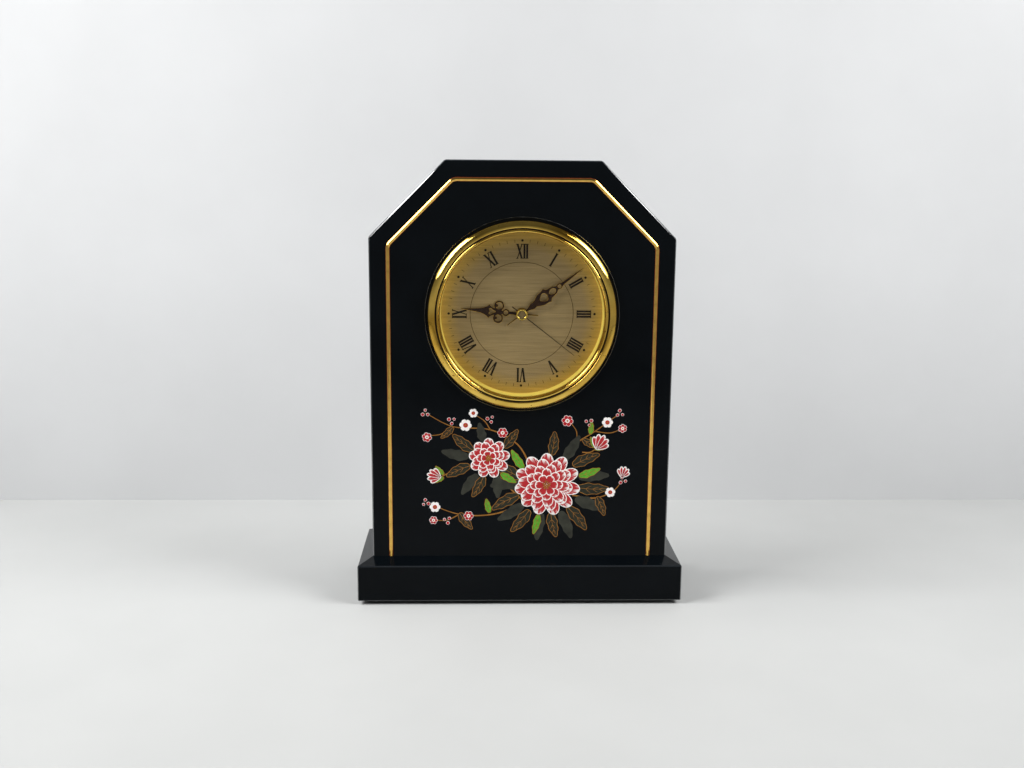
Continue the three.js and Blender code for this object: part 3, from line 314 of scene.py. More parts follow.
def plates(name, shapes, thickness, materials, border=0.0, crown=0.0):
    """Flat plates in one mesh, from outlines of x and z and the depths of their faces.

    With a border, the first material is the border and the second the field, which rises by the crown.
    """
    clear_selection()
    bpy.ops.mesh.primitive_circle_add(vertices=len(shapes[0][0]), fill_type="NGON")
    piece = bpy.context.active_object
    piece.name = name
    paint(piece, *materials)
    bpy.ops.object.mode_set(mode="EDIT")
    for outline, _ in shapes[1:]:
        bpy.ops.mesh.primitive_circle_add(vertices=len(outline), fill_type="NGON")
    bpy.ops.mesh.select_mode(type="FACE")
    bpy.ops.mesh.select_all(action="DESELECT")
    bpy.ops.object.mode_set(mode="OBJECT")
    corners = [(x, front, z) for outline, front in shapes for x, z in outline]
    if len(corners) != len(piece.data.vertices):
        raise RuntimeError(name + ": the outlines and the mesh differ")
    for vertex, corner in zip(piece.data.vertices, corners):
        vertex.co = corner
    piece.data.update()
    for face in piece.data.polygons:
        face.select = face.normal.y > 0
    bpy.ops.object.mode_set(mode="EDIT")
    bpy.ops.mesh.flip_normals()
    if border:
        bpy.ops.mesh.select_all(action="SELECT")
        bpy.ops.mesh.inset(thickness=border, depth=crown, use_boundary=True)
        piece.active_material_index = 1
        bpy.ops.object.material_slot_assign()
    bpy.ops.mesh.select_all(action="SELECT")
    bpy.ops.mesh.extrude_region_move(TRANSFORM_OT_translate={"value": (0, thickness, 0)})
    face_outward()
    return piece


def turned(name, profile, steps=192):
    """A shape spun round the hand axis from a profile of radius and depth.

    The profile is closed, or has both its ends on the axis.
    """
    clear_selection()
    bpy.ops.mesh.primitive_circle_add(vertices=len(profile), fill_type="NOTHING")
    piece = bpy.context.active_object
    piece.name = name
    for vertex, (radius, depth) in zip(piece.data.vertices, profile):
        vertex.co = (radius, depth, DIAL_Z)
    bpy.ops.object.mode_set(mode="EDIT")
    bpy.ops.mesh.select_mode(type="EDGE")
    bpy.ops.mesh.select_all(action="DESELECT")
    bpy.ops.object.mode_set(mode="OBJECT")
    points = piece.data.vertices
    for edge in piece.data.edges:
        edge.select = all(points[i].co.x < WELD for i in edge.vertices)
    bpy.ops.object.mode_set(mode="EDIT")
    bpy.ops.mesh.delete(type="EDGE")
    bpy.ops.mesh.select_all(action="SELECT")
    bpy.ops.mesh.spin(steps=steps, angle=2 * math.pi, center=(0, 0, DIAL_Z), axis=(0, 1, 0))
    face_outward()
    smooth(piece)
    return piece


def drum(name, centre, axis, radius, depth, edge, segments, vertices):
    """A round bar along X, Y or Z with rounded ends."""
    turns = {"X": (0, math.pi / 2, 0), "Y": (math.pi / 2, 0, 0), "Z": (0, 0, 0)}
    clear_selection()
    bpy.ops.mesh.primitive_cylinder_add(
        vertices=vertices, radius=radius, depth=depth, location=centre, rotation=turns[axis]
    )
    piece = bpy.context.active_object
    piece.name = name
    bpy.ops.object.transform_apply(location=True, rotation=True, scale=True)
    bevel_all(piece, edge, segments)
    smooth(piece)
    return piece


def quarter_round(radius, depth, width, height, start, steps):
    """A quarter of an ellipse in a turned profile."""
    angles = [start + math.pi / 2 * i / steps for i in range(steps + 1)]
    return [(radius + width * math.cos(a), depth - height * math.sin(a)) for a in angles]


def case_outline(inset, bottom):
    """Corners of the clipped case outline, drawn in by a distance, from the right foot to the left."""
    draw = inset * math.tan(math.pi / 8)
    right = [
        (HALF - inset, bottom),
        (HALF - inset, SHOULDER - draw),
        (HALF - CLIP - draw, TOP - inset),
    ]
    return right + [(-x, z) for x, z in reversed(right)]


def rounded_run(corners, radius, steps=8):
    """Points along a run of corners, with an arc at each one between the ends."""
    spots = [Vector(corner) for corner in corners]
    points = [spots[0]]
    for before, spot, after in zip(spots, spots[1:], spots[2:]):
        back = (before - spot).normalized()
        ahead = (after - spot).normalized()
        half = back.angle(ahead) / 2
        centre = spot + (back + ahead).normalized() * radius / math.sin(half)
        start = spot + back * radius / math.tan(half) - centre
        end = spot + ahead * radius / math.tan(half) - centre
        points += [centre + start.slerp(end, i / steps) * radius for i in range(steps + 1)]
    return points + [spots[-1]]


def smooth_line(points, steps=6):
    """Points along a smooth curve through the given ones."""
    spots = [Vector(p) for p in points]
    spots = [2 * spots[0] - spots[1]] + spots + [2 * spots[-1] - spots[-2]]
    line = []
    for a, b, c, d in zip(spots, spots[1:], spots[2:], spots[3:]):
        for i in range(steps):
            t = i / steps
            bend = (2 * a - 5 * b + 4 * c - d) * t ** 2
            twist = (3 * b - a - 3 * c + d) * t ** 3
            line.append((2 * b + (c - a) * t + bend + twist) / 2)
    return line + [spots[-2]]


def stroke(points, start, end):
    """Outline of a brush stroke along a smooth line, from one width to another."""
    line = smooth_line(points)
    left = []
    right = []
    for i, spot in enumerate(line):
        along = line[min(i + 1, len(line) - 1)] - line[max(i - 1, 0)]
        side = Vector((-along.y, along.x)).normalized()
        half = (start + (end - start) * i / (len(line) - 1)) / 2
        left.append(spot + side * half)
        right.append(spot - side * half)
    return [(p.x, p.y) for p in left + right[::-1]]


def placed(outline, centre, turn):
    """An outline turned clockwise from upright and moved to its place."""
    c, s = math.cos(turn), math.sin(turn)
    return [(centre[0] + (x * c + z * s), centre[1] + (z * c - x * s)) for x, z in outline]


def petal(long, wide, count):
    """Outline of a petal that stands on its narrow end."""
    outline = []
    for i in range(count):
        angle = 2 * math.pi * i / count
        share = (1 + math.cos(angle)) / 2
        outline.append((-wide / 2 * math.sin(angle) * (0.4 + 0.6 * share), long * share))
    return outline


def leaf(long, wide, curl):
    """Outline of a pointed leaf with three lobes on each side, bent to one side by the curl."""
    count = 44
    outline = []
    for i in range(count):
        angle = 2 * math.pi * i / count
        share = (1 + math.cos(angle)) / 2
        lobes = 1 - 0.2 * abs(math.sin(3 * math.pi * share))
        half = wide / 2 * abs(math.sin(angle)) * lobes * (1.15 - 0.45 * share)
        outline.append((-math.copysign(half, math.sin(angle)) + curl * long * share ** 2, long * share))
    return outline


def leaf_veins(long, wide, curl):
    """Lines of a leaf's midrib and side veins, each with the side that it lies on."""
    veins = [([(curl * long * share ** 2, long * share) for share in (0.0, 0.5, 0.9)], 1)]
    for share in (0.28, 0.5, 0.7):
        root_x, root_z = curl * long * share ** 2, long * share
        reach = 0.3 * wide * (1.1 - share)
        for side in (-1, 1):
            tip_x, tip_z = root_x + side * reach, root_z + 0.16 * long
            middle = ((root_x + tip_x) / 2 + side * 0.2 * MM, (root_z + tip_z) / 2)
            veins.append(([(root_x, root_z), middle, (tip_x, tip_z)], side))
    return veins


def disc(radius, count):
    """Outline of a round spot."""
    angles = [2 * math.pi * i / count for i in range(count)]
    return [(radius * math.sin(a), radius * math.cos(a)) for a in angles]


# Materials

NOISE = "ShaderNodeTexNoise"
RAMP = "ShaderNodeValToRGB"
MATHS = "ShaderNodeMath"
VECTOR_MATHS = "ShaderNodeVectorMath"
MAPPING = "ShaderNodeMapping"
BUMP = "ShaderNodeBump"


def add_node(tree, kind, inputs=None, stops=None, to=None, **settings):
    """Adds a node with its settings, colour stops, input values and links, and returns its first output."""
    node = tree.nodes.new(kind)
    for name, value in settings.items():
        setattr(node, name, value)
    if stops:
        ramp = node.color_ramp.elements
        while len(ramp) < len(stops):
            ramp.new(1.0)
        for element, (position, colour) in zip(ramp, stops):
            element.position = position
            element.color = colour
    for name, value in (inputs or {}).items():
        if isinstance(value, bpy.types.NodeSocket):
            tree.links.new(value, node.inputs[name])
        else:
            node.inputs[name].default_value = value
    if to is not None:
        tree.links.new(node.outputs[0], to)
    return node.outputs[0]


def surface(name, **values):
    """A material with one Principled shader: itself, its tree, its sockets and its Object coordinates."""
    material = bpy.data.materials.new(name)
    material.use_nodes = True
    tree = material.node_tree
    sockets = tree.nodes["Principled BSDF"].inputs
    for key, value in values.items():
        sockets[key.replace("_", " ")].default_value = value
    coords = tree.nodes.new("ShaderNodeTexCoord").outputs["Object"]
    return material, tree, sockets, coords


def shade(colour, factor):
    """A colour made darker or lighter."""
    return tuple(min(1.0, part * factor) for part in colour[:3]) + (1.0,)


def shades(colour, *stops):
    """Ramp stops from places and the factors of one colour."""
    return [(place, shade(colour, factor)) for place, factor in stops]


def greys(*stops):
    """Ramp stops from places and plain values."""
    return [(place, (value, value, value, 1.0)) for place, value in stops]


def mottle(tree, sockets, coords, grain, detail, bump=None, **ramps):
    """Lets one noise drive sockets through ramps and, with a strength and a depth, roughen the surface."""
    noise = add_node(tree, NOISE, {"Vector": coords, "Scale": 1 / grain, "Detail": detail})
    for socket, stops in ramps.items():
        add_node(tree, RAMP, {"Fac": noise}, stops, sockets[socket.replace("_", " ")])
    if bump:
        strength, depth = bump
        add_node(tree, BUMP, {"Height": noise, "Strength": strength, "Distance": depth},
                 to=sockets["Normal"])
    return noise


def paper_material(name, colour):
    """Matt paper: pale and even, with a slight broad cloud."""
    material, tree, sockets, coords = surface(name, Roughness=0.85, Specular_IOR_Level=0.2)
    mottle(tree, sockets, coords, 90 * MM, 3.0, Base_Color=shades(colour, (0.3, 0.98), (0.7, 1.02)))
    return material


def lacquer_material(name, colour, shine, coat=0.0):
    """Sprayed and polished black lacquer: deep and mirror-like, with faint peel and handling marks."""
    material, tree, sockets, coords = surface(
        name, IOR=1.5, Specular_IOR_Level=shine, Coat_Weight=coat, Coat_IOR=1.8
    )
    mottle(tree, sockets, coords, 30 * MM, 6.0, Base_Color=shades(colour, (0.3, 0.85), (0.75, 1.35)),
           Roughness=greys((0.35, 0.07), (0.8, 0.15)))
    mottle(tree, sockets, coords, 3.5 * MM, 2.0, bump=(0.05, 0.05 * MM))
    return material


def board_material(name, colour, roughness):
    """Medium-density fibreboard: flat felted fibres with small darker flecks."""
    material, tree, sockets, coords = surface(name, Roughness=roughness)
    fibre = mottle(tree, sockets, coords, 0.8 * MM, 8.0, bump=(0.25, 0.1 * MM))
    cloud = add_node(tree, NOISE, {"Vector": coords, "Scale": 1 / (35 * MM), "Detail": 3.0})
    both = add_node(tree, MATHS, {0: fibre, 1: cloud}, operation="ADD")
    mean = add_node(tree, MATHS, {0: both, 1: 0.5}, operation="MULTIPLY")
    add_node(tree, RAMP, {"Fac": mean}, shades(colour, (0.32, 0.6), (0.68, 1.35)), sockets["Base Color"])
    return material


def gilt_material(name, colour, roughness):
    """Gold foil or bronze paint: warm metal with soft clouds and thinner brown patches."""
    material, tree, sockets, coords = surface(name, Metallic=1.0)
    mottle(tree, sockets, coords, 5 * MM, 5.0,
           Base_Color=shades(colour, (0.3, 0.78), (0.55, 1.0), (0.8, 1.12)),
           Roughness=greys((0.3, roughness * 1.6), (0.75, roughness)))
    return material


def brass_material(name, colour):
    """Plated and lathe-polished brass: bright, with fine rings round the hand axis, tarnish and specks."""
    material, tree, sockets, coords = surface(name, Metallic=1.0)
    centred = add_node(tree, VECTOR_MATHS, {0: coords, 1: (0.0, 0.0, DIAL_Z)}, operation="SUBTRACT")
    flat = add_node(tree, VECTOR_MATHS, {0: centred, 1: (1.0, 0.0, 1.0)}, operation="MULTIPLY")
    radius = add_node(tree, VECTOR_MATHS, {0: flat}, operation="LENGTH").node.outputs["Value"]
    rings = add_node(tree, NOISE, {"W": radius, "Scale": 1 / (0.5 * MM), "Detail": 3.0},
                     noise_dimensions="1D")
    add_node(tree, BUMP, {"Height": rings, "Strength": 0.12, "Distance": 0.01 * MM}, to=sockets["Normal"])
    cloud = mottle(tree, sockets, coords, 9 * MM, 4.0, Roughness=greys((0.3, 0.06), (0.75, 0.108)))
    tone = add_node(tree, RAMP, {"Fac": cloud}, shades(colour, (0.3, 0.88), (0.7, 1.06)))
    tarnish = add_node(tree, NOISE, {"Vector": coords, "Scale": 1 / (38 * MM), "Detail": 2.0})
    veil = add_node(tree, RAMP, {"Fac": tarnish}, [(0.38, (0.66, 0.56, 0.36, 1.0))] + greys((0.56, 1.0)))
    speck = add_node(tree, NOISE, {"Vector": coords, "Scale": 1 / (2.2 * MM), "Detail": 1.0})
    spots = add_node(tree, RAMP, {"Fac": speck}, [(0.24, (0.3, 0.2, 0.1, 1.0))] + greys((0.29, 1.0)))
    dulled = add_node(tree, VECTOR_MATHS, {0: tone, 1: veil}, operation="MULTIPLY")
    add_node(tree, VECTOR_MATHS, {0: dulled, 1: spots}, to=sockets["Base Color"], operation="MULTIPLY")
    return material


def dial_material(name, middle, edge):
    """Straight-brushed champagne aluminium: streaks across the dial and deeper gold towards its edge."""
    material, tree, sockets, coords = surface(name, Metallic=0.4)
    centred = add_node(tree, VECTOR_MATHS, {0: coords, 1: (0.0, DIAL_FRONT, DIAL_Z)}, operation="SUBTRACT")
    radius = add_node(tree, VECTOR_MATHS, {0: centred}, operation="LENGTH").node.outputs["Value"]
    share = add_node(tree, MATHS, {0: radius, 1: GLASS_RADIUS}, operation="DIVIDE")
    tone = add_node(tree, RAMP, {"Fac": share},
                    shades(middle, (0.0, 1.0), (0.75, 0.97)) + shades(edge, (0.9, 1.0), (1.0, 1.2)))
    fine = add_node(tree, MAPPING, {"Vector": coords, "Scale": (1 / (16 * MM), 1.0, 1 / (0.35 * MM))})
    broad = add_node(tree, MAPPING, {"Vector": coords, "Scale": (1 / (40 * MM), 1.0, 1 / (1.6 * MM))})
    hair = mottle(tree, sockets, fine, 1.0, 4.0, bump=(0.3, 0.03 * MM),
                  Roughness=greys((0.3, 0.5), (0.7, 0.36)))
    streak = add_node(tree, NOISE, {"Vector": broad, "Scale": 1.0, "Detail": 3.0})
    both = add_node(tree, MATHS, {0: hair, 1: streak}, operation="ADD")
    mean = add_node(tree, MATHS, {0: both, 1: 0.5}, operation="MULTIPLY")
    light = add_node(tree, RAMP, {"Fac": mean}, greys((0.34, 0.66), (0.62, 1.0)))
    add_node(tree, VECTOR_MATHS, {0: tone, 1: light}, to=sockets["Base Color"], operation="MULTIPLY")
    return material


def enamel_material(name, colour, roughness, grain, spread):
    """Brushed-on or printed enamel: even colour with a slight cloud and a soft sheen."""
    material, tree, sockets, coords = surface(name, Roughness=roughness, Specular_IOR_Level=0.25)
    mottle(tree, sockets, coords, grain, 4.0,
           Base_Color=shades(colour, (0.3, 1 - spread), (0.7, 1 + spread)))
    return material


def petal_material(name, root, tip):
    """Enamel laid in brush streaks along each petal, from one colour at its root to another at its tip."""
    material, tree, sockets, _ = surface(name, Roughness=0.38)
    own = tree.nodes.new("ShaderNodeUVMap").outputs["UV"]
    drawn_out = add_node(tree, MAPPING, {"Vector": own, "Scale": (16.0, 1.6, 1.0)})
    streak = add_node(tree, NOISE, {"Vector": drawn_out, "Scale": 1.0, "Detail": 3.0})
    height = add_node(tree, "ShaderNodeSeparateXYZ", {"Vector": own}).node.outputs["Y"]
    sway = add_node(tree, MATHS, {0: streak, 1: 0.55}, operation="MULTIPLY")
    reach = add_node(tree, MATHS, {0: height, 1: 0.6, 2: sway}, operation="MULTIPLY_ADD")
    add_node(tree, RAMP, {"Fac": reach}, shades(root, (0.3, 0.5), (0.55, 1.0), (0.8, 1.0)) + [(0.9, tip)],
             sockets["Base Color"])
    return material


def plastic_material(name, colour, roughness, grit):
    """Moulded plastic or rubber: even colour with the fine pebbled skin of a spark-eroded mould."""
    material, tree, sockets, coords = surface(name)
    mottle(tree, sockets, coords, grit, 3.0, bump=(0.2, 0.04 * MM),
           Roughness=greys((0.3, roughness - 0.08), (0.7, roughness + 0.08)))
    mottle(tree, sockets, coords, 12 * MM, 3.0, Base_Color=shades(colour, (0.3, 0.9), (0.7, 1.1)))
    return material


def plate_metal_material(name, colour, roughness, scratch):
    """Plated sheet steel: cool metal with rolling streaks and slightly uneven shine."""
    material, tree, sockets, coords = surface(name, Metallic=1.0)
    rolled = add_node(tree, MAPPING, {"Vector": coords, "Scale": (1 / (14 * MM), 1 / scratch, 1 / scratch)})
    mottle(tree, sockets, rolled, 1.0, 4.0, Base_Color=shades(colour, (0.3, 0.8), (0.7, 1.1)),
           Roughness=greys((0.3, roughness + 0.12), (0.7, roughness)))
    return material


def jacket_material(name, bands, low, high):
    """Printed foil jacket of a cell: bands of colour along X, a little dulled by handling."""
    material, tree, sockets, coords = surface(name, Roughness=0.3, Metallic=0.35)
    along = add_node(tree, "ShaderNodeSeparateXYZ", {"Vector": coords})
    share = add_node(tree, "ShaderNodeMapRange", {"Value": along, "From Min": low, "From Max": high})
    tone = add_node(tree, RAMP, {"Fac": share}, bands)
    tone.node.color_ramp.interpolation = "CONSTANT"
    grain = add_node(tree, NOISE, {"Vector": coords, "Scale": 1 / (2 * MM), "Detail": 3.0})
    veil = add_node(tree, RAMP, {"Fac": grain}, greys((0.3, 0.85), (0.7, 1.0)))
    add_node(tree, VECTOR_MATHS, {0: tone, 1: veil}, to=sockets["Base Color"], operation="MULTIPLY")
    return material


def winding_material(name):
    """Enamelled copper wire: close turns, drawn at four times their real pitch so that they show."""
    material, tree, sockets, coords = surface(name, Metallic=0.9, Roughness=0.35)
    turns = add_node(tree, "ShaderNodeTexWave", bands_direction="X",
                     inputs={"Vector": coords, "Scale": 1 / (2.6 * MM), "Distortion": 0.3})
    add_node(tree, RAMP, {"Fac": turns}, [(0.1, linear("#5a2c12")), (0.6, linear("#b86a34"))],
             sockets["Base Color"])
    return material


def glass_material(name):
    """Clear window glass: almost unseen, with a mirror sheen that grows towards the edge of sight."""
    material = bpy.data.materials.new(name)
    material.use_nodes = True
    tree = material.node_tree
    tree.nodes.remove(tree.nodes["Principled BSDF"])
    clear = add_node(tree, "ShaderNodeBsdfTransparent", {"Color": linear("#fbfdfc")})
    mirror = add_node(tree, "ShaderNodeBsdfGlossy", {"Color": linear("#ffffff"), "Roughness": 0.02})
    # Layer Weight is the same from both sides, so light that slants in is not held back at the far face
    facing = add_node(tree, "ShaderNodeLayerWeight", {"Blend": 0.05}).node.outputs["Facing"]
    add_node(tree, "ShaderNodeMixShader", {0: facing, 1: clear, 2: mirror},
             to=tree.nodes["Material Output"].inputs["Surface"])
    return material


def finish(maker, name, *values, **looks):
    """A material by name, made the first time that it is asked for."""
    return bpy.data.materials.get(name) or maker(name, *values, **looks)


def brass(context):
    """The polished brass of the bezel and the cap of the hands."""
    return finish(brass_material, "polished_brass_plate", context.scene.clock_colours.brass)


def steel():
    """The bright steel of screws, pipes and contacts."""
    return finish(plate_metal_material, "nickel_plated_steel", linear("#b8babd"),
                  roughness=0.26, scratch=0.4 * MM)


def zinc():
    """The zinc-plated sheet of the retaining plate, clips and stator."""
    return finish(plate_metal_material, "zinc_plated_sheet", linear("#9da2a4"),
                  roughness=0.36, scratch=0.8 * MM)


def cover(material, *nodes):
    """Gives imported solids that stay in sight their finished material."""
    for node in nodes:
        slots = frame["nodes"][node].data.materials
        slots.clear()
        slots.append(material)


def eased(node, ending, material, edge, slot):
    """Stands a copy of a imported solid, with its sharp edges eased, in the solid's place."""
    piece = merged_copy(node, node + ending)
    paint(piece, material)
    bevel_all(piece, edge, 2)
    smooth(piece)
    dress(piece, BODY_OF[node], slot, node)


# Operators, one for each piece or group of like pieces


class CLOCK_OT_case(bpy.types.Operator):
    """Front panel, boards and plinth under one coat of black lacquer"""

    bl_idname = "clock.case"
    bl_label = "Lacquered case"

    def execute(self, context):
        sizes = context.scene.clock_sizes
        colours = context.scene.clock_colours
        lacquer = finish(lacquer_material, "black_polyester_lacquer", colours.lacquer, shine=0.08)
        # Painted highlight on the arrises, a lighter colour with more shine than the lacquer, and a dusted,
        # shinier coat on the upward faces of the plinth
        edge_highlight_tint = shade(colours.lacquer, 3.0)
        arris = finish(lacquer_material, "buffed_lacquer_arris", edge_highlight_tint, shine=1.0, coat=1.0)
        rubbed = finish(lacquer_material, "dusted_lacquer", colours.lacquer, shine=0.22)
        bare = finish(board_material, "bare_fibreboard", colours.bare_board, roughness=0.75)
        arris_steps = 4
        flat_arris = 0.3
        on_plane = 0.01 * MM
        recess_margin = 4 * MM
        recess_slack = 0.5 * MM
        upward = 0.5

        def on_outline(spot):
            x = abs(spot.x)
            slope = x + spot.z - (HALF + SHOULDER)
            outside = x > HALF - WELD or spot.z > TOP - WELD or abs(slope) < on_plane
            return outside and spot.z > FOOT + WELD

        def on_recess(spot):
            return abs(from_axis(spot) - recess_radius) < recess_slack and spot.y < FRONT + WELD

        panel = merged_copy("front_panel", "lacquered_front")
        # Material 1, on the front arrises and the recess rim, is the painted edge highlight
        paint(panel, lacquer, arris)
        round_edges(panel, sizes.case_edge, arris_steps,
                    lambda spot: on_outline(spot) and spot.y < BOARD_FRONT - WELD,
                    material=1, profile=flat_arris)
        face_radii = [from_axis(v.co) for v in panel.data.vertices if v.co.y < FRONT + WELD]
        recess_radius = max(radius for radius in face_radii if radius < BEZEL_RADIUS + recess_margin)
        round_edges(panel, sizes.recess_edge, 3, on_recess, material=1)
        smooth(panel, angle=25)
        dress(panel, "case", "black_lacquer", "front_panel")

        lip = BOARD - (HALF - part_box("back_panel")[1].x)
        below = FOOT - BOARD
        sides = prism("lacquered_sides", case_outline(0, FOOT), BOARD_FRONT, BACK)
        # Material 1 on the rear arrises is the painted edge highlight; material 2 is the bare board inside
        paint(sides, lacquer, arris, bare)
        carve(sides, prism("hollow", case_outline(BOARD, below), BOARD_FRONT - BOARD, BACK + BOARD))
        carve(sides, prism("rebate", case_outline(BOARD - lip, below), REBATE, BACK + BOARD))
        for face in sides.data.polygons:
            x, z = abs(face.center.x), face.center.z
            inner = max(x - HALF, z - TOP, (x + z - HALF - SHOULDER) / math.sqrt(2)) < -BOARD + lip / 2
            rear = face.normal.y > SQUARE and face.center.y > BACK - WELD
            face.material_index = 2 if inner and not rear and z > FOOT + WELD else 0
        round_edges(sides, sizes.case_edge, arris_steps,
                    lambda spot: on_outline(spot) and spot.y > BOARD_FRONT + WELD, material=1)
        smooth(sides, angle=25)
        dress(sides, "case", "black_lacquer", "left_side_board", "right_side_board", "left_shoulder_board",
              "right_shoulder_board", "top_board")

        plinth = merged_copy("plinth", "lacquered_plinth")
        margin = (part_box("plinth")[1].x - HALF) / 2
        # Material 1 on the plinth's edges is the painted edge highlight; material 2 is the dusted finish of
        # the upward faces
        paint(plinth, lacquer, arris, rubbed)
        round_edges(plinth, sizes.plinth_edge, arris_steps,
                    lambda spot: abs(spot.x) > HALF + margin or abs(spot.y) > BACK + margin,
                    material=1, profile=flat_arris)
        for face in plinth.data.polygons:
            if face.material_index == 0 and face.normal.z > upward:
                face.material_index = 2
        # The chamfer leans by less than 25 degrees, and stays flat
        smooth(plinth, angle=15)
        dress(plinth, "case", "black_lacquer", "plinth")
        return {"FINISHED"}


class CLOCK_OT_groove(bpy.types.Operator):
    """Gilt bead with red-brown painted shade along its feet, which fills the groove and follows the case
    outline
    """

    bl_idname = "clock.groove"
    bl_label = "Gilt groove"

    def execute(self, context):
        sizes = context.scene.clock_sizes
        foil = finish(gilt_material, "gilt_foil_bead", context.scene.clock_colours.gilt, roughness=0.1)
        # Red-brown painted shade for the feet of the bead, where the groove shades it
        bead_foot_shade = finish(enamel_material, "red_brown_gilding_ground", linear("#7a2c10"),
                        roughness=0.4, grain=2 * MM, spread=0.3)
        foil_thickness = 0.1 * MM
        # Section of the bead from the bottom of its groove to its crest, as shares of half width and height
        skirt = [(1.0, -1.8), (1.0, 0.0)]
        flank = [(0.82, 0.218), (0.79, 0.254), (0.39, 0.739), (0.35, 0.788)]
        crest = [(0.26, 0.883), (0.17, 0.95), (0.08, 0.989), (0.0, 1.0)]
        outer = skirt + flank + crest
        section = [(-side, rise) for side, rise in outer] + outer[-2::-1]
        across = len(section) - 1
        runs = []
        for side, rise in section:
            offset = sizes.groove_half * side
            sink = sizes.groove_depth - sizes.bead_rise * rise
            run = rounded_run(case_outline(sizes.groove_inset + offset, FOOT), sizes.groove_bend - offset)
            runs.append([(p.x, FRONT + sink, p.y) for p in run])
        along = len(runs[0]) - 1
        clear_selection()
        bpy.ops.mesh.primitive_grid_add(x_subdivisions=along, y_subdivisions=across, size=1.0)
        bead = bpy.context.active_object
        bead.name = "gilt_groove"
        if len(bead.data.vertices) != (across + 1) * (along + 1):
            raise RuntimeError("the bead's grid has the wrong number of points")
        point_row = []
        for vertex in bead.data.vertices:
            row = round((vertex.co.y + 0.5) * across)
            point_row.append(row)
            vertex.co = runs[row][round((vertex.co.x + 0.5) * along)]
        paint(bead, foil, bead_foot_shade)
        # Faces next to both feet of the bead are painted red-brown: painted shade
        shaded_rows = len(skirt)
        for face in bead.data.polygons:
            rows = [point_row[i] for i in face.vertices]
            face.material_index = 1 if max(rows) <= shaded_rows or min(rows) >= across - shaded_rows else 0
        bpy.ops.object.mode_set(mode="EDIT")
        bpy.ops.mesh.select_all(action="SELECT")
        bpy.ops.mesh.normals_make_consistent(inside=False)
        bpy.ops.object.mode_set(mode="OBJECT")
        if sum(face.normal.y for face in bead.data.polygons) > 0:
            bead.data.flip_normals()
        lining = bead.modifiers.new("lining", "SOLIDIFY")
        lining.thickness = foil_thickness
        lining.offset = -1.0
        bpy.ops.object.modifier_apply(modifier=lining.name)
        smooth(bead, angle=40)
        dress(bead, "case", "gilt", "gilt_inlay")
        return {"FINISHED"}


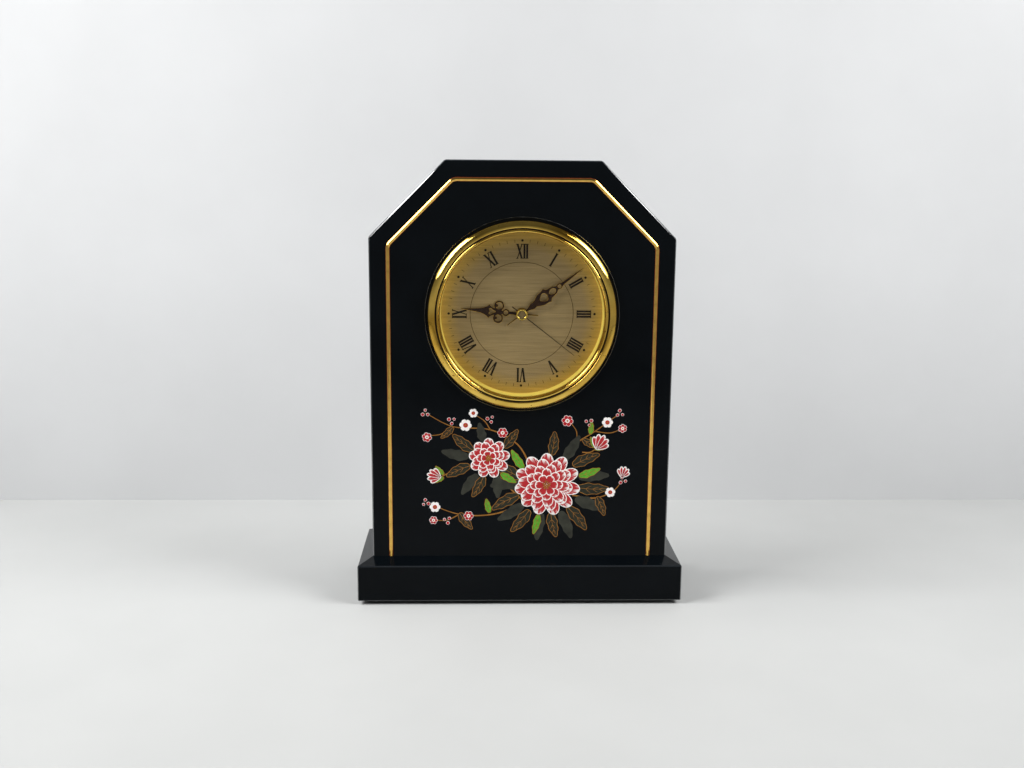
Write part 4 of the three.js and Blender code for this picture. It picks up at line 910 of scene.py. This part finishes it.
class CLOCK_OT_flowers(bpy.types.Operator):
    """Painted flowers, leaves and sprays on the front"""

    bl_idname = "clock.flowers"
    bl_label = "Painted flowers"

    def execute(self, context):
        sizes = context.scene.clock_sizes
        colours = context.scene.clock_colours
        layer = sizes.paint_layer
        gold = finish(gilt_material, "gold_bronze_paint", colours.paint_gold, roughness=0.4)
        white = finish(enamel_material, "white_enamel", colours.flower_white,
                       roughness=0.4, grain=1.5 * MM, spread=0.06)
        streaked_red = finish(petal_material, "red_brushed_enamel", colours.flower_red,
                              shade(colours.flower_white, 0.95))
        red = finish(enamel_material, "red_enamel", colours.flower_red,
                     roughness=0.32, grain=1.5 * MM, spread=0.15)
        wash = finish(enamel_material, "dark_leaf_wash", colours.leaf,
                      roughness=0.45, grain=2.5 * MM, spread=0.35)
        faint_wash = finish(enamel_material, "faint_grey_green_wash", linear("#2f3028"),
                            roughness=0.5, grain=6 * MM, spread=0.45)
        green = finish(enamel_material, "green_enamel", colours.leaf_green,
                       roughness=0.4, grain=2 * MM, spread=0.22)

        def at(x, z):
            return (x * MM, z * MM)

        def height(level):
            return FRONT - layer * level

        def spot(radius, centre, level, count=16):
            return (placed(disc(radius, count), centre, 0), height(level))

        # Arching stems, each from a root to a thin tip, with the widths at both ends
        stems = [
            ([(8, 88), (-2, 106), (-20, 116), (-44, 118), (-62, 127)], 1.1, 0.4),
            ([(-44, 118), (-52, 113), (-60, 112)], 0.7, 0.35),
            ([(-20, 116), (-24, 122), (-32, 127)], 0.7, 0.35),
            ([(24, 94), (36, 107), (48, 115), (64, 127)], 1.1, 0.4),
            ([(48, 115), (58, 114), (66, 117)], 0.7, 0.35),
            ([(36, 107), (36, 115), (31, 122)], 0.7, 0.35),
            ([(2, 66), (-18, 59), (-40, 59), (-62, 67)], 1.1, 0.4),
            ([(-40, 59), (-48, 55), (-56, 55)], 0.7, 0.35),
            ([(-20, 92), (-10, 80), (2, 68)], 1.2, 0.8),
            ([(34, 72), (48, 70), (60, 74), (67, 82)], 1.0, 0.4),
            ([(-28, 92), (-40, 90), (-53, 84)], 0.9, 0.6),
            ([(40, 101), (45, 101), (50, 104)], 0.8, 0.6),
        ]
        lines = [(stroke([at(*point) for point in points], start * MM, end * MM), height(1))
                 for points, start, end in stems]

        # Leaves: place of the root, direction clockwise from upright, length, width, bend
        faint_leaves = [
            (4, 80, -88, 24, 10, -0.1), (2, 66, -130, 20, 9, 0.12), (14, 60, -165, 19, 9, -0.1),
            (26, 61, 150, 20, 9, 0.12), (36, 70, 116, 22, 9.5, -0.12), (38, 84, 80, 20, 9, 0.1),
            (28, 96, 38, 19, 8.5, -0.1), (-34, 98, -84, 18, 8.5, 0.1), (-28, 86, -136, 17, 8, -0.1),
            (-16, 86, 170, 16, 8, 0.1), (-24, 108, -20, 13, 7, 0.1),
        ]
        dark_leaves = [
            (0, 84, -66, 21, 10, 0.14), (-1, 72, -110, 20, 9.5, -0.15), (6, 62, -148, 19, 9, 0.12),
            (20, 60, 174, 17, 8.5, -0.12), (31, 64, 134, 20, 9.5, 0.12), (37, 77, 98, 21, 9.5, -0.12),
            (34, 92, 58, 19, 9, 0.14), (20, 99, 14, 16, 8, -0.12), (-31, 102, -58, 17, 8.5, 0.12),
            (-33, 92, -108, 17, 8.5, -0.12), (-24, 85, -158, 16, 8, 0.1), (-11, 104, 42, 15, 7.5, -0.1),
            (50, 71, 150, 14, 7, 0.12), (-40, 60, 150, 14, 7, -0.12), (-44, 118, -140, 11, 5.5, 0.1),
            (40, 110, 128, 11, 5.5, -0.1),
        ]
        bright_leaves = [
            (2, 90, -40, 15, 6.5, 0.12), (38, 85, 76, 15, 6.5, -0.1), (12, 59, -172, 14, 6, 0.1),
            (-13, 87, 128, 12, 6, -0.1), (-20, 60, -20, 10, 5, 0.1), (45, 113, 10, 9, 4.5, -0.1),
            (-50, 86, -50, 8, 4, 0.1), (-50, 84, -110, 8, 4, -0.1), (48, 103, 75, 8, 4, 0.1),
            (48, 104, -15, 8, 4, -0.1),
        ]
        shapes = []
        for i, (x, z, turn, long, wide, curl) in enumerate(faint_leaves):
            outline = placed(leaf(long * MM, wide * MM, curl), at(x, z), math.radians(turn))
            shapes.append((outline, height(1.05 + i / 12)))
        vein_root, vein_tip = 0.3 * MM, 0.12 * MM
        leaf_pieces = [plates("faint_leaves", shapes, layer, [faint_wash])]
        for leaves, field, level in ((dark_leaves, wash, 2), (bright_leaves, green, 3)):
            shapes = []
            for x, z, turn, long, wide, curl in leaves:
                root, lean = at(x, z), math.radians(turn)
                shapes.append((placed(leaf(long * MM, wide * MM, curl), root, lean), height(level)))
                for vein, side in leaf_veins(long * MM, wide * MM, curl):
                    outline = stroke(placed(vein, root, lean), vein_root, vein_tip)
                    lines.append((outline, height(level + 0.6 + 0.03 * side)))
            leaf_pieces.append(plates("leaves", shapes, layer, [gold, field], border=0.34 * MM))
        dress(join("painted_leaves", leaf_pieces), "case", "gilt")
        dress(plates("painted_stems", lines, layer, [gold]), "case", "gilt")

        # Large flowers: rings of petals, each ring shorter and one layer higher than the one outside it
        flowers = [
            (at(17, 79), sizes.bloom_radius, (11, 10, 9, 8, 6), 2.6 * MM),
            (at(-21, 97), sizes.bloom_radius * 0.63, (9, 8, 7, 5), 1.9 * MM),
        ]
        drawn_in, overlap, ring_turn, uneven = 0.82, 1.95, 0.13, 0.04
        petals = []
        for centre, radius, counts, _ in flowers:
            for ring, count in enumerate(counts):
                reach = radius * (1 - drawn_in * ring / len(counts))
                wide = overlap * math.pi * reach / count
                for i in range(count):
                    turn = 2 * math.pi * (i + 0.5 * (ring % 2)) / count + ring_turn * ring
                    long = reach * (1 + uneven * math.sin(7 * i + 3 * ring))
                    level = 4 + 0.9 * ring + 0.06 * (i % 5) + 0.02 * (i // 5)
                    petals.append((placed(petal(long, wide, 28), centre, turn), height(level)))
        # Buds that open upwards: place, lean and height, with the spread and the length of their petals
        for x, z, turn, size in ((49, 103, 30, 11), (-52, 84, -75, 9.5), (66, 84, 20, 8)):
            for spread, long in ((-40, 0.8), (40, 0.8), (-20, 0.95), (20, 0.95), (0, 1.0)):
                outline = petal(long * size * MM, 0.42 * size * MM, 20)
                level = 5 + 0.02 * (40 - abs(spread)) + 0.03 * (spread > 0)
                petals.append((placed(outline, at(x, z), math.radians(turn + spread)), height(level)))
        blooms = plates("painted_blooms", petals, layer, [white, streaked_red],
                        border=0.55 * MM, crown=0.05 * MM)
        dress(blooms, "case", "black_lacquer")

        # Small star flowers of six petals along the sprays: place, radius, and red or white
        stars = [
            (-36, 119, 4.0, False), (-12, 114, 3.4, True), (-61, 111, 3.2, True), (-31, 127, 3.0, False),
            (30, 122, 3.8, True), (56, 121, 3.6, False), (66, 117, 2.9, True), (-56, 64, 3.6, False),
            (-34, 58, 3.3, True), (-57, 55, 2.8, True), (59, 74, 3.4, False),
        ]
        petals_of = {True: [], False: []}
        for x, z, radius, is_red in stars:
            for i in range(6):
                turn = 2 * math.pi * i / 6 + x
                outline = placed(petal(radius * MM, 1.05 * radius * MM, 14), at(x, z), turn)
                petals_of[is_red].append((outline, height(3 + 0.1 * (i % 3) + 0.05 * (i // 3))))
        red_hearts = [spot(0.4 * r * MM, at(x, z), 3.7, 12) for x, z, r, is_red in stars if not is_red]
        white_hearts = [spot(0.38 * r * MM, at(x, z), 3.7, 12) for x, z, r, is_red in stars if is_red]
        star_piece = join("painted_stars", [
            plates("red_stars", petals_of[True], layer, [white, red], border=0.22 * MM, crown=0.03 * MM),
            plates("white_stars", petals_of[False], layer, [white, white], border=0.3 * MM, crown=0.03 * MM),
            plates("red_hearts", red_hearts, layer, [red]),
            plates("white_hearts", white_hearts, layer, [white]),
        ])
        dress(star_piece, "case", "black_lacquer")

        # Gold hearts of the flowers, in a spiral on the large ones
        dots = [spot(0.17 * r * MM, at(x, z), 4.4) for x, z, r, _ in stars]
        grains = 14
        for centre, _, _, radius in flowers:
            for i in range(grains):
                turn = 2.4 * i
                reach = radius * math.sqrt(i / grains)
                place = (centre[0] + reach * math.sin(turn), centre[1] + reach * math.cos(turn))
                dots.append(spot(0.55 * MM, place, 9.5 + 0.05 * i, 10))
        dress(plates("painted_hearts", dots, layer, [gold]), "case", "gilt")

        # Berries in threes at the tips of the sprays
        berries = []
        clusters = [(-62, 127), (-45, 122), (64, 127), (44, 121), (-62, 67), (-48, 55), (67, 82), (-20, 123)]
        for n, (x, z) in enumerate(clusters):
            for i in range(3):
                turn = 2.1 * i + n
                place = at(x + 1.9 * math.sin(turn), z + 1.9 * math.cos(turn))
                berries.append(spot((0.95 + 0.12 * i) * MM, place, 2.5 + 0.3 * i, 14))
        berry_piece = plates("painted_berries", berries, layer, [white, red],
                             border=0.2 * MM, crown=0.06 * MM)
        dress(berry_piece, "case", "black_lacquer")
        return {"FINISHED"}


class CLOCK_OT_bezel(bpy.types.Operator):
    """Polished bezel, inner ring and glass"""

    bl_idname = "clock.bezel"
    bl_label = "Bezel and glass"

    def execute(self, context):
        # A dark colour painted into the step between lip and band: painted shade
        step_shade = finish(enamel_material, "dark_polish_residue", linear("#1c1507"),
                         roughness=0.6, grain=1.0 * MM, spread=0.4)
        gold_paint = finish(enamel_material, "satin_gold_paint", linear("#ffdf6a"),
                            roughness=0.3, grain=6 * MM, spread=0.06)
        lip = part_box("inner_ring")[1].x
        skirt_end = BEZEL_HIGH.y
        # The section: floor of the recess, inner edge over the glass, step between lip and band, and skirt
        recess = FRONT + 1.5 * MM
        inner = GLASS_RADIUS - 2.1 * MM
        step = 55.1 * MM
        step_half = 0.35 * MM
        step_slack = 0.05 * MM
        step_depth = BEZEL_FRONT + 1.1 * MM
        ridge = 0.4 * MM
        skirt_inner = lip + 0.3 * MM
        skirt_outer = skirt_inner + 0.8 * MM
        rim_slope = math.radians(58)
        rim_steps = 14
        crown = (step - step_half + inner) / 2
        lip_half = step - step_half - crown
        crest = step + step_half + ridge
        sweep = (BEZEL_RADIUS - crest) / math.sin(rim_slope)
        arc = [rim_slope * (1 - i / rim_steps) for i in range(rim_steps + 1)]
        profile = [(BEZEL_RADIUS, recess)]
        profile += [(crest + sweep * math.sin(a), BEZEL_FRONT + sweep * (1 - math.cos(a))) for a in arc]
        profile += quarter_round(crest, BEZEL_FRONT + ridge, ridge, ridge, math.pi / 2, 6)[1:]
        profile += [(step + step_half, step_depth)]
        profile += quarter_round(crown, step_depth, lip_half, step_depth - BEZEL_FRONT, 0, 8)
        profile += quarter_round(crown, GLASS_FRONT, lip_half, GLASS_FRONT - BEZEL_FRONT,
                                 math.pi / 2, 10)[1:]
        profile += [(skirt_inner, GLASS_FRONT), (skirt_inner, skirt_end), (skirt_outer, skirt_end),
                    (skirt_outer, recess)]
        bezel = turned("polished_bezel", profile)
        paint(bezel, brass(context), step_shade)
        # Faces in the step below the ridge take the painted shade
        for face in bezel.data.polygons:
            in_step = abs(from_axis(face.center) - step) < step_half + step_slack
            below_ridge = BEZEL_FRONT + ridge < face.center.y < GLASS_FRONT
            face.material_index = 1 if in_step and below_ridge else 0
        dress(bezel, "case", "polished_brass", "bezel")

        foot = min(from_axis(v.co) for v in frame["nodes"]["inner_ring"].data.vertices)
        ring = turned("inner_gold_ring", [(lip, DIAL_FRONT), (lip, GLASS_BACK), (inner, GLASS_BACK),
                                          (foot, DIAL_FRONT)])
        paint(ring, gold_paint)
        dress(ring, "case", "polished_brass", "inner_ring")
        cover(finish(glass_material, "clear_window_glass"), "glass")
        return {"FINISHED"}


class CLOCK_OT_dial(bpy.types.Operator):
    """Brushed dial with its printed numerals, dots, ticks and ring"""

    bl_idname = "clock.dial"
    bl_label = "Dial"

    def execute(self, context):
        sizes = context.scene.clock_sizes
        colours = context.scene.clock_colours
        brushed = finish(dial_material, "brushed_champagne_aluminium", colours.dial, colours.dial_edge)
        cover(brushed, "dial_plate")
        ink = finish(enamel_material, "screen_printed_ink", colours.ink,
                     roughness=0.5, grain=0.8 * MM, spread=0.2)
        faint = finish(enamel_material, "worn_brown_ink", linear("#4f3a1b"),
                       roughness=0.5, grain=0.6 * MM, spread=0.25)
        film = 0.03 * MM
        face = DIAL_FRONT - film
        centre = (0.0, DIAL_Z)
        foot = sizes.numeral_foot
        head = foot + sizes.numeral_height
        thick, thin, serif = 1.24 * MM, 0.6 * MM, 0.48 * MM
        widths = {"I": 1.72 * MM, "V": 4.3 * MM, "X": 4.4 * MM}
        inset = 0.75 * MM
        crossing = 0.1 * MM
        slim, broad, broadest = 0.7 * MM, 0.9 * MM, 0.95 * MM
        lift_step = 0.0013 * MM

        def bar(x0, x1, y0, y1):
            return [(x0, y0), (x1, y0), (x1, y1), (x0, y1)]

        def slant(bottom, top, half):
            return [(bottom - half, foot), (bottom + half, foot), (top + half, head), (top - half, head)]

        def low_serif(middle, half):
            return bar(middle - half, middle + half, foot, foot + serif)

        def high_serif(middle, half):
            return bar(middle - half, middle + half, head - serif, head)

        def letter(kind, left):
            wide = widths[kind]
            middle = left + wide / 2
            if kind == "I":
                return [bar(middle - thick / 2, middle + thick / 2, foot, head),
                        low_serif(middle, wide / 2), high_serif(middle, wide / 2)]
            first, last = left + inset, left + wide - inset
            if kind == "V":
                return [slant(middle - crossing, first, thick / 2), slant(middle + crossing, last, thin / 2),
                        high_serif(first, broadest), high_serif(last, slim)]
            return [slant(last, first, thick / 2), slant(first, last, thin / 2),
                    high_serif(first, broad), high_serif(last, slim),
                    low_serif(first, slim), low_serif(last, broad)]

        numerals = ["XII", "I", "II", "III", "IIII", "V", "VI", "VII", "VIII", "IX", "X", "XI"]
        shapes = []
        for hour, text in enumerate(numerals):
            turn = math.radians(30 * hour)
            left = -sum(widths[kind] for kind in text) / 2
            for n, kind in enumerate(text):
                for i, outline in enumerate(letter(kind, left)):
                    # Strokes that touch lie at slightly different heights
                    lift = lift_step * (2 * i + n % 2)
                    shapes.append((placed(outline, centre, turn), face - lift))
                left += widths[kind]
            spot = placed([(0.0, sizes.dot_place)], centre, turn)[0]
            shapes.append((placed(disc(sizes.dot_radius, 16), spot, 0), face))
        dress(plates("dial_numerals", shapes, film, [ink]), "case", "dark_hand")

        tick_half, tick_foot, tick_head = 0.15 * MM, 45.7 * MM, 47.7 * MM
        ring_half = 0.17 * MM
        arcs = 120
        ticks = []
        for minute in range(60):
            if minute % 5:
                outline = bar(-tick_half, tick_half, tick_foot, tick_head)
                ticks.append((placed(outline, centre, math.radians(6 * minute)), face))
        for i in range(arcs):
            wide = sizes.ring_radius * math.tan(math.pi / arcs)
            outline = bar(-wide, wide, sizes.ring_radius - ring_half, sizes.ring_radius + ring_half)
            ticks.append((placed(outline, centre, 2 * math.pi * i / arcs), face))
        dress(plates("dial_ticks", ticks, film, [faint]), "case", "dark_hand")
        return {"FINISHED"}


class CLOCK_OT_hands(bpy.types.Operator):
    """Pierced hour and minute hands with gilt edges, and the second hand with its cap"""

    bl_idname = "clock.hands"
    bl_label = "Hands"

    def execute(self, context):
        sizes = context.scene.clock_sizes
        colours = context.scene.clock_colours
        enamel = finish(enamel_material, "dark_brown_enamel", colours.hand,
                        roughness=0.3, grain=1.2 * MM, spread=0.2)
        edge = finish(gilt_material, "gilt_hand_edge", linear("#d6a552"), roughness=0.22)
        aged = finish(enamel_material, "brown_cap_enamel", linear("#76603f"),
                      roughness=0.3, grain=1.5 * MM, spread=0.15)
        rim_rise = 0.06 * MM
        for node in ("hour_hand", "minute_hand"):
            hand = merged_copy(node, node + "_gilt_edged")
            paint(hand, enamel, edge)
            rim_front(hand, sizes.hand_edge, rim_rise, material=1)
            smooth(hand, angle=20)
            dress(hand, BODY_OF[node], "dark_hand", node)

        needle = merged_copy("second_hand", "second_hand_needle")
        paint(needle, enamel)
        smooth(needle)
        # Section of the cap in millimetres: radius, and depth behind the front of the second hand
        section = [(0.0, -0.15), (2.5, -0.15), (2.6, -0.35), (2.8, -0.5), (3.15, -0.6), (3.5, -0.45),
                   (3.7, -0.1), (3.78, 0.2), (3.78, 0.95), (0.0, 0.95)]
        field_radius = 2.55 * MM
        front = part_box("second_hand")[0].y
        cap = turned("second_hand_cap", [(radius * MM, front + depth * MM) for radius, depth in section],
                     steps=64)
        paint(cap, brass(context), aged)
        for face in cap.data.polygons:
            face.material_index = 1 if from_axis(face.center) < field_radius else 0
        dress(join("second_hand_capped", [needle, cap]), BODY_OF["second_hand"], "dark_hand", "second_hand")
        return {"FINISHED"}


class CLOCK_OT_back(bpy.types.Operator):
    """Back panel, screws, clips, retaining plate and feet"""

    bl_idname = "clock.back"
    bl_label = "Back, screws and feet"

    def execute(self, context):
        painted = finish(board_material, "painted_fibreboard", context.scene.clock_colours.back_paint,
                         roughness=0.55)
        soft = finish(plastic_material, "soft_black_rubber", linear("#1b1b1c"),
                      roughness=0.85, grit=0.6 * MM)
        panel_edge, clip_edge, pad_edge = 0.5 * MM, 0.2 * MM, 0.6 * MM
        panel = merged_copy("back_panel", "back_panel_painted")
        paint(panel, painted)
        round_edges(panel, panel_edge, 2, lambda spot: spot.y > BACK - WELD)
        smooth(panel, angle=25)
        dress(panel, "case", "back_board", "back_panel")

        screws = [node for node in frame["nodes"] if "_screw_" in node]
        sunk_screws = [node for node in screws if node.startswith("plinth")]
        for node in screws:
            if node in sunk_screws:
                continue
            low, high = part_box(node)
            radius = (high.x - low.x) / 2
            middle = (low + high) / 2
            # A low domed head with a cross, on a thinner shank
            tall = 0.55 * radius
            dome = 0.45 * tall
            cross_floor = high.y - 0.55 * tall
            shank_radius = 0.42 * radius
            shank_edge = 0.1 * radius
            head = drum(node + "_head", (middle.x, high.y - tall / 2, middle.z), "Y",
                        radius, tall, dome, segments=5, vertices=40)
            arm, slit = 0.62 * radius, 0.13 * radius
            for half_x, half_z in ((arm, slit), (slit, arm)):
                corners = ((-half_x, -half_z), (half_x, -half_z), (half_x, half_z), (-half_x, half_z))
                outline = [(middle.x + x, middle.z + z) for x, z in corners]
                carve(head, prism("cross", outline, cross_floor, high.y + tall))
            shank = drum(node + "_shank", (middle.x, (low.y + high.y - tall) / 2, middle.z), "Y",
                         shank_radius, high.y - tall - low.y, shank_edge, segments=2, vertices=24)
            screw = join(node + "_crossed", [head, shank])
            paint(screw, steel())
            smooth(screw)
            dress(screw, BODY_OF[node], "steel", node)
        cover(steel(), *sunk_screws)

        cover(zinc(), "retaining_plate")
        for node in ("mounting_clip_1", "mounting_clip_2", "mounting_clip_3"):
            eased(node, "_plated", zinc(), clip_edge, "zinc_plate")

        for node in frame["nodes"]:
            if node.startswith("foot_"):
                low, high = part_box(node)
                foot = drum(node + "_pad", (low + high) / 2, "Z", (high.x - low.x) / 2, high.z - low.z,
                            pad_edge, segments=4, vertices=64)
                paint(foot, soft)
                dress(foot, "case", "rubber", node)
        return {"FINISHED"}


class CLOCK_OT_movement(bpy.types.Operator):
    """Quartz movement: mouldings, wheels, motor, electronics, knob and cell"""

    bl_idname = "clock.movement"
    bl_label = "Movement"

    def execute(self, context):
        sizes = context.scene.clock_sizes
        colours = context.scene.clock_colours
        black = finish(plastic_material, "moulded_black_abs", colours.plastic,
                       roughness=0.5, grit=0.35 * MM)
        white = finish(plastic_material, "moulded_white_acetal", colours.wheel,
                       roughness=0.45, grit=0.3 * MM)
        amber = finish(plastic_material, "moulded_amber_acetal", linear("#c9a66a"),
                       roughness=0.4, grit=0.3 * MM)
        mask = finish(enamel_material, "green_solder_mask", linear("#1f5b3a"),
                      roughness=0.35, grain=1.5 * MM, spread=0.25)
        plate_edge, knob_edge, can_edge, tip_edge = 0.2 * MM, 0.15 * MM, 0.7 * MM, 0.4 * MM
        eased("movement_rear_cover", "_moulded", black, sizes.plastic_edge, "black_plastic")
        eased("movement_front_plate", "_moulded", black, plate_edge, "black_plastic")
        eased("set_knob", "_moulded", white, knob_edge, "white_plastic")
        cover(black, "middle_plate")
        cover(white, "second_wheel", "third_wheel", "intermediate_wheel")
        cover(amber, "centre_wheel", "minute_wheel", "hour_wheel")
        cover(zinc(), "stator", "rotor")
        cover(steel(), "minute_cannon", "clutch_spring", "coil_core", "quartz_crystal", "contact_positive",
              "contact_negative")
        cover(finish(winding_material, "enamelled_copper_wire"), "coil")
        cover(mask, "circuit_board")

        # The cell: a can with rounded ends, and a tip that reaches a little way into it
        low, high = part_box("battery")
        middle = (low + high) / 2
        nub, nub_radius, sunk = 1.3 * MM, 2.75 * MM, 0.2 * MM
        can_end = high.x - nub
        can = drum("cell_can", ((low.x + can_end) / 2, middle.y, middle.z), "X", (high.z - low.z) / 2,
                   can_end - low.x, can_edge, segments=4, vertices=64)
        tip = drum("cell_tip", (can_end + (nub - sunk) / 2, middle.y, middle.z), "X", nub_radius, nub + sunk,
                   tip_edge, segments=3, vertices=32)
        cell = join("cell_jacketed", [can, tip])
        bare_steel = linear("#b7b9bb")
        bands = [(0.0, bare_steel), (0.015, colours.cell), (0.66, linear("#b98a3e")), (0.965, bare_steel)]
        paint(cell, finish(jacket_material, "printed_cell_jacket", bands, low.x, high.x))
        dress(cell, BODY_OF["battery"], "cell_jacket", "battery")
        return {"FINISHED"}


class CLOCK_OT_stage(bpy.types.Operator):
    """Pale floor and backdrop, soft light and the camera"""

    bl_idname = "clock.stage"
    bl_label = "Stage"

    def execute(self, context):
        colours = context.scene.clock_colours
        table_radius = 1.0
        wall_size = 8.0
        wall_place = 0.2

        # The backdrop is clear from behind, so it hides nothing in a view of the clock's back
        wall_paper = paper_material("one_sided_backdrop", colours.backdrop)
        tree = wall_paper.node_tree
        behind = tree.nodes.new("ShaderNodeNewGeometry").outputs["Backfacing"]
        front_side = tree.nodes["Principled BSDF"].outputs[0]
        open_side = add_node(tree, "ShaderNodeBsdfTransparent")
        add_node(tree, "ShaderNodeMixShader", {0: behind, 1: front_side, 2: open_side},
                 to=tree.nodes["Material Output"].inputs["Surface"])

        clear_selection()
        bpy.ops.mesh.primitive_circle_add(
            vertices=128, radius=table_radius, fill_type="NGON", location=(0, 0, 0)
        )
        floor = bpy.context.active_object
        floor.name = "floor"
        paint(floor, paper_material("pale_table_top", colours.floor))
        clear_selection()
        bpy.ops.mesh.primitive_plane_add(
            size=wall_size, location=(0, wall_place, wall_size / 2), rotation=(math.pi / 2, 0, 0)
        )
        wall = bpy.context.active_object
        wall.name = "backdrop"
        bpy.ops.object.transform_apply(location=True, rotation=True, scale=True)
        paint(wall, wall_paper)

        # Lamps: place and side in metres, power in watts
        target = Vector((0, 0, 0.15))
        spread = math.radians(110)
        for name, place, size, power in (
            ("softbox_left", (-0.85, -0.34, 0.8), 0.6, 5.4),
            ("softbox_right", (0.85, -0.34, 0.8), 0.6, 4.8),
            ("edge_light_left", (-0.85, 0.02, 1.0), 0.35, 2.0),
            ("edge_light_right", (0.85, 0.02, 0.95), 0.35, 0.6),
        ):
            aim = (target - Vector(place)).to_track_quat("-Z", "Y").to_euler()
            bpy.ops.object.light_add(type="AREA", location=place, rotation=aim)
            lamp = bpy.context.active_object
            lamp.name = name
            lamp.data.shape = "SQUARE"
            lamp.data.size = size
            lamp.data.energy = power
            lamp.data.spread = spread

        world = bpy.data.worlds.new("soft_room")
        context.scene.world = world
        world.use_nodes = True
        sky = world.node_tree
        around = sky.nodes.new("ShaderNodeTexCoord").outputs["Generated"]
        rise = add_node(sky, "ShaderNodeSeparateXYZ", {"Vector": around}).node.outputs["Z"]
        add_node(sky, RAMP, {"Fac": rise}, to=sky.nodes["Background"].inputs["Color"],
                 stops=greys((0.0, 0.36), (0.15, 0.24), (0.45, 0.08), (1.0, 0.1)))

        # The photograph's camera: place, line of sight and a slight roll
        bpy.ops.object.camera_add(location=(-0.0282, -0.7297, 0.2791))
        camera = bpy.context.active_object
        sight = Vector((0.0309, 0.982, -0.1864)).to_track_quat("-Z", "Y")
        camera.rotation_euler = (sight @ Quaternion((0, 0, 1), math.radians(0.49))).to_euler()
        camera.data.sensor_width = 36.0
        camera.data.lens = 38.97
        camera.data.clip_start = 0.01
        context.scene.camera = camera
        context.scene.view_settings.view_transform = "Standard"
        return {"FINISHED"}


OPERATORS = (
    CLOCK_OT_case,
    CLOCK_OT_groove,
    CLOCK_OT_flowers,
    CLOCK_OT_bezel,
    CLOCK_OT_dial,
    CLOCK_OT_hands,
    CLOCK_OT_back,
    CLOCK_OT_movement,
    CLOCK_OT_stage,
)


class CLOCK_PT_pieces(bpy.types.Panel):
    """Lists the clock's pieces, sizes and colours"""

    bl_label = "Mantel clock"
    bl_space_type = "VIEW_3D"
    bl_region_type = "UI"
    bl_category = "Clock"

    def draw(self, context):
        for operator in OPERATORS:
            self.layout.operator(operator.bl_idname)
        for group in (context.scene.clock_sizes, context.scene.clock_colours):
            box = self.layout.box()
            for name in group.bl_rna.properties.keys():
                if name not in ("rna_type", "name"):
                    box.prop(group, name)


CLASSES = (ClockSizes, ClockColours) + OPERATORS + (CLOCK_PT_pieces,)


def register():
    """Registers the classes and hangs the settings on the scene."""
    for kind in CLASSES:
        bpy.utils.register_class(kind)
    bpy.types.Scene.clock_sizes = bpy.props.PointerProperty(type=ClockSizes)
    bpy.types.Scene.clock_colours = bpy.props.PointerProperty(type=ClockColours)


def unregister():
    """Takes the settings and the classes away again."""
    del bpy.types.Scene.clock_colours
    del bpy.types.Scene.clock_sizes
    for kind in reversed(CLASSES):
        bpy.utils.unregister_class(kind)


def main():
    """Makes every piece in order."""
    register()
    for operator in OPERATORS:
        group, name = operator.bl_idname.split(".")
        getattr(getattr(bpy.ops, group), name)()


if __name__ == "__main__":
    main()
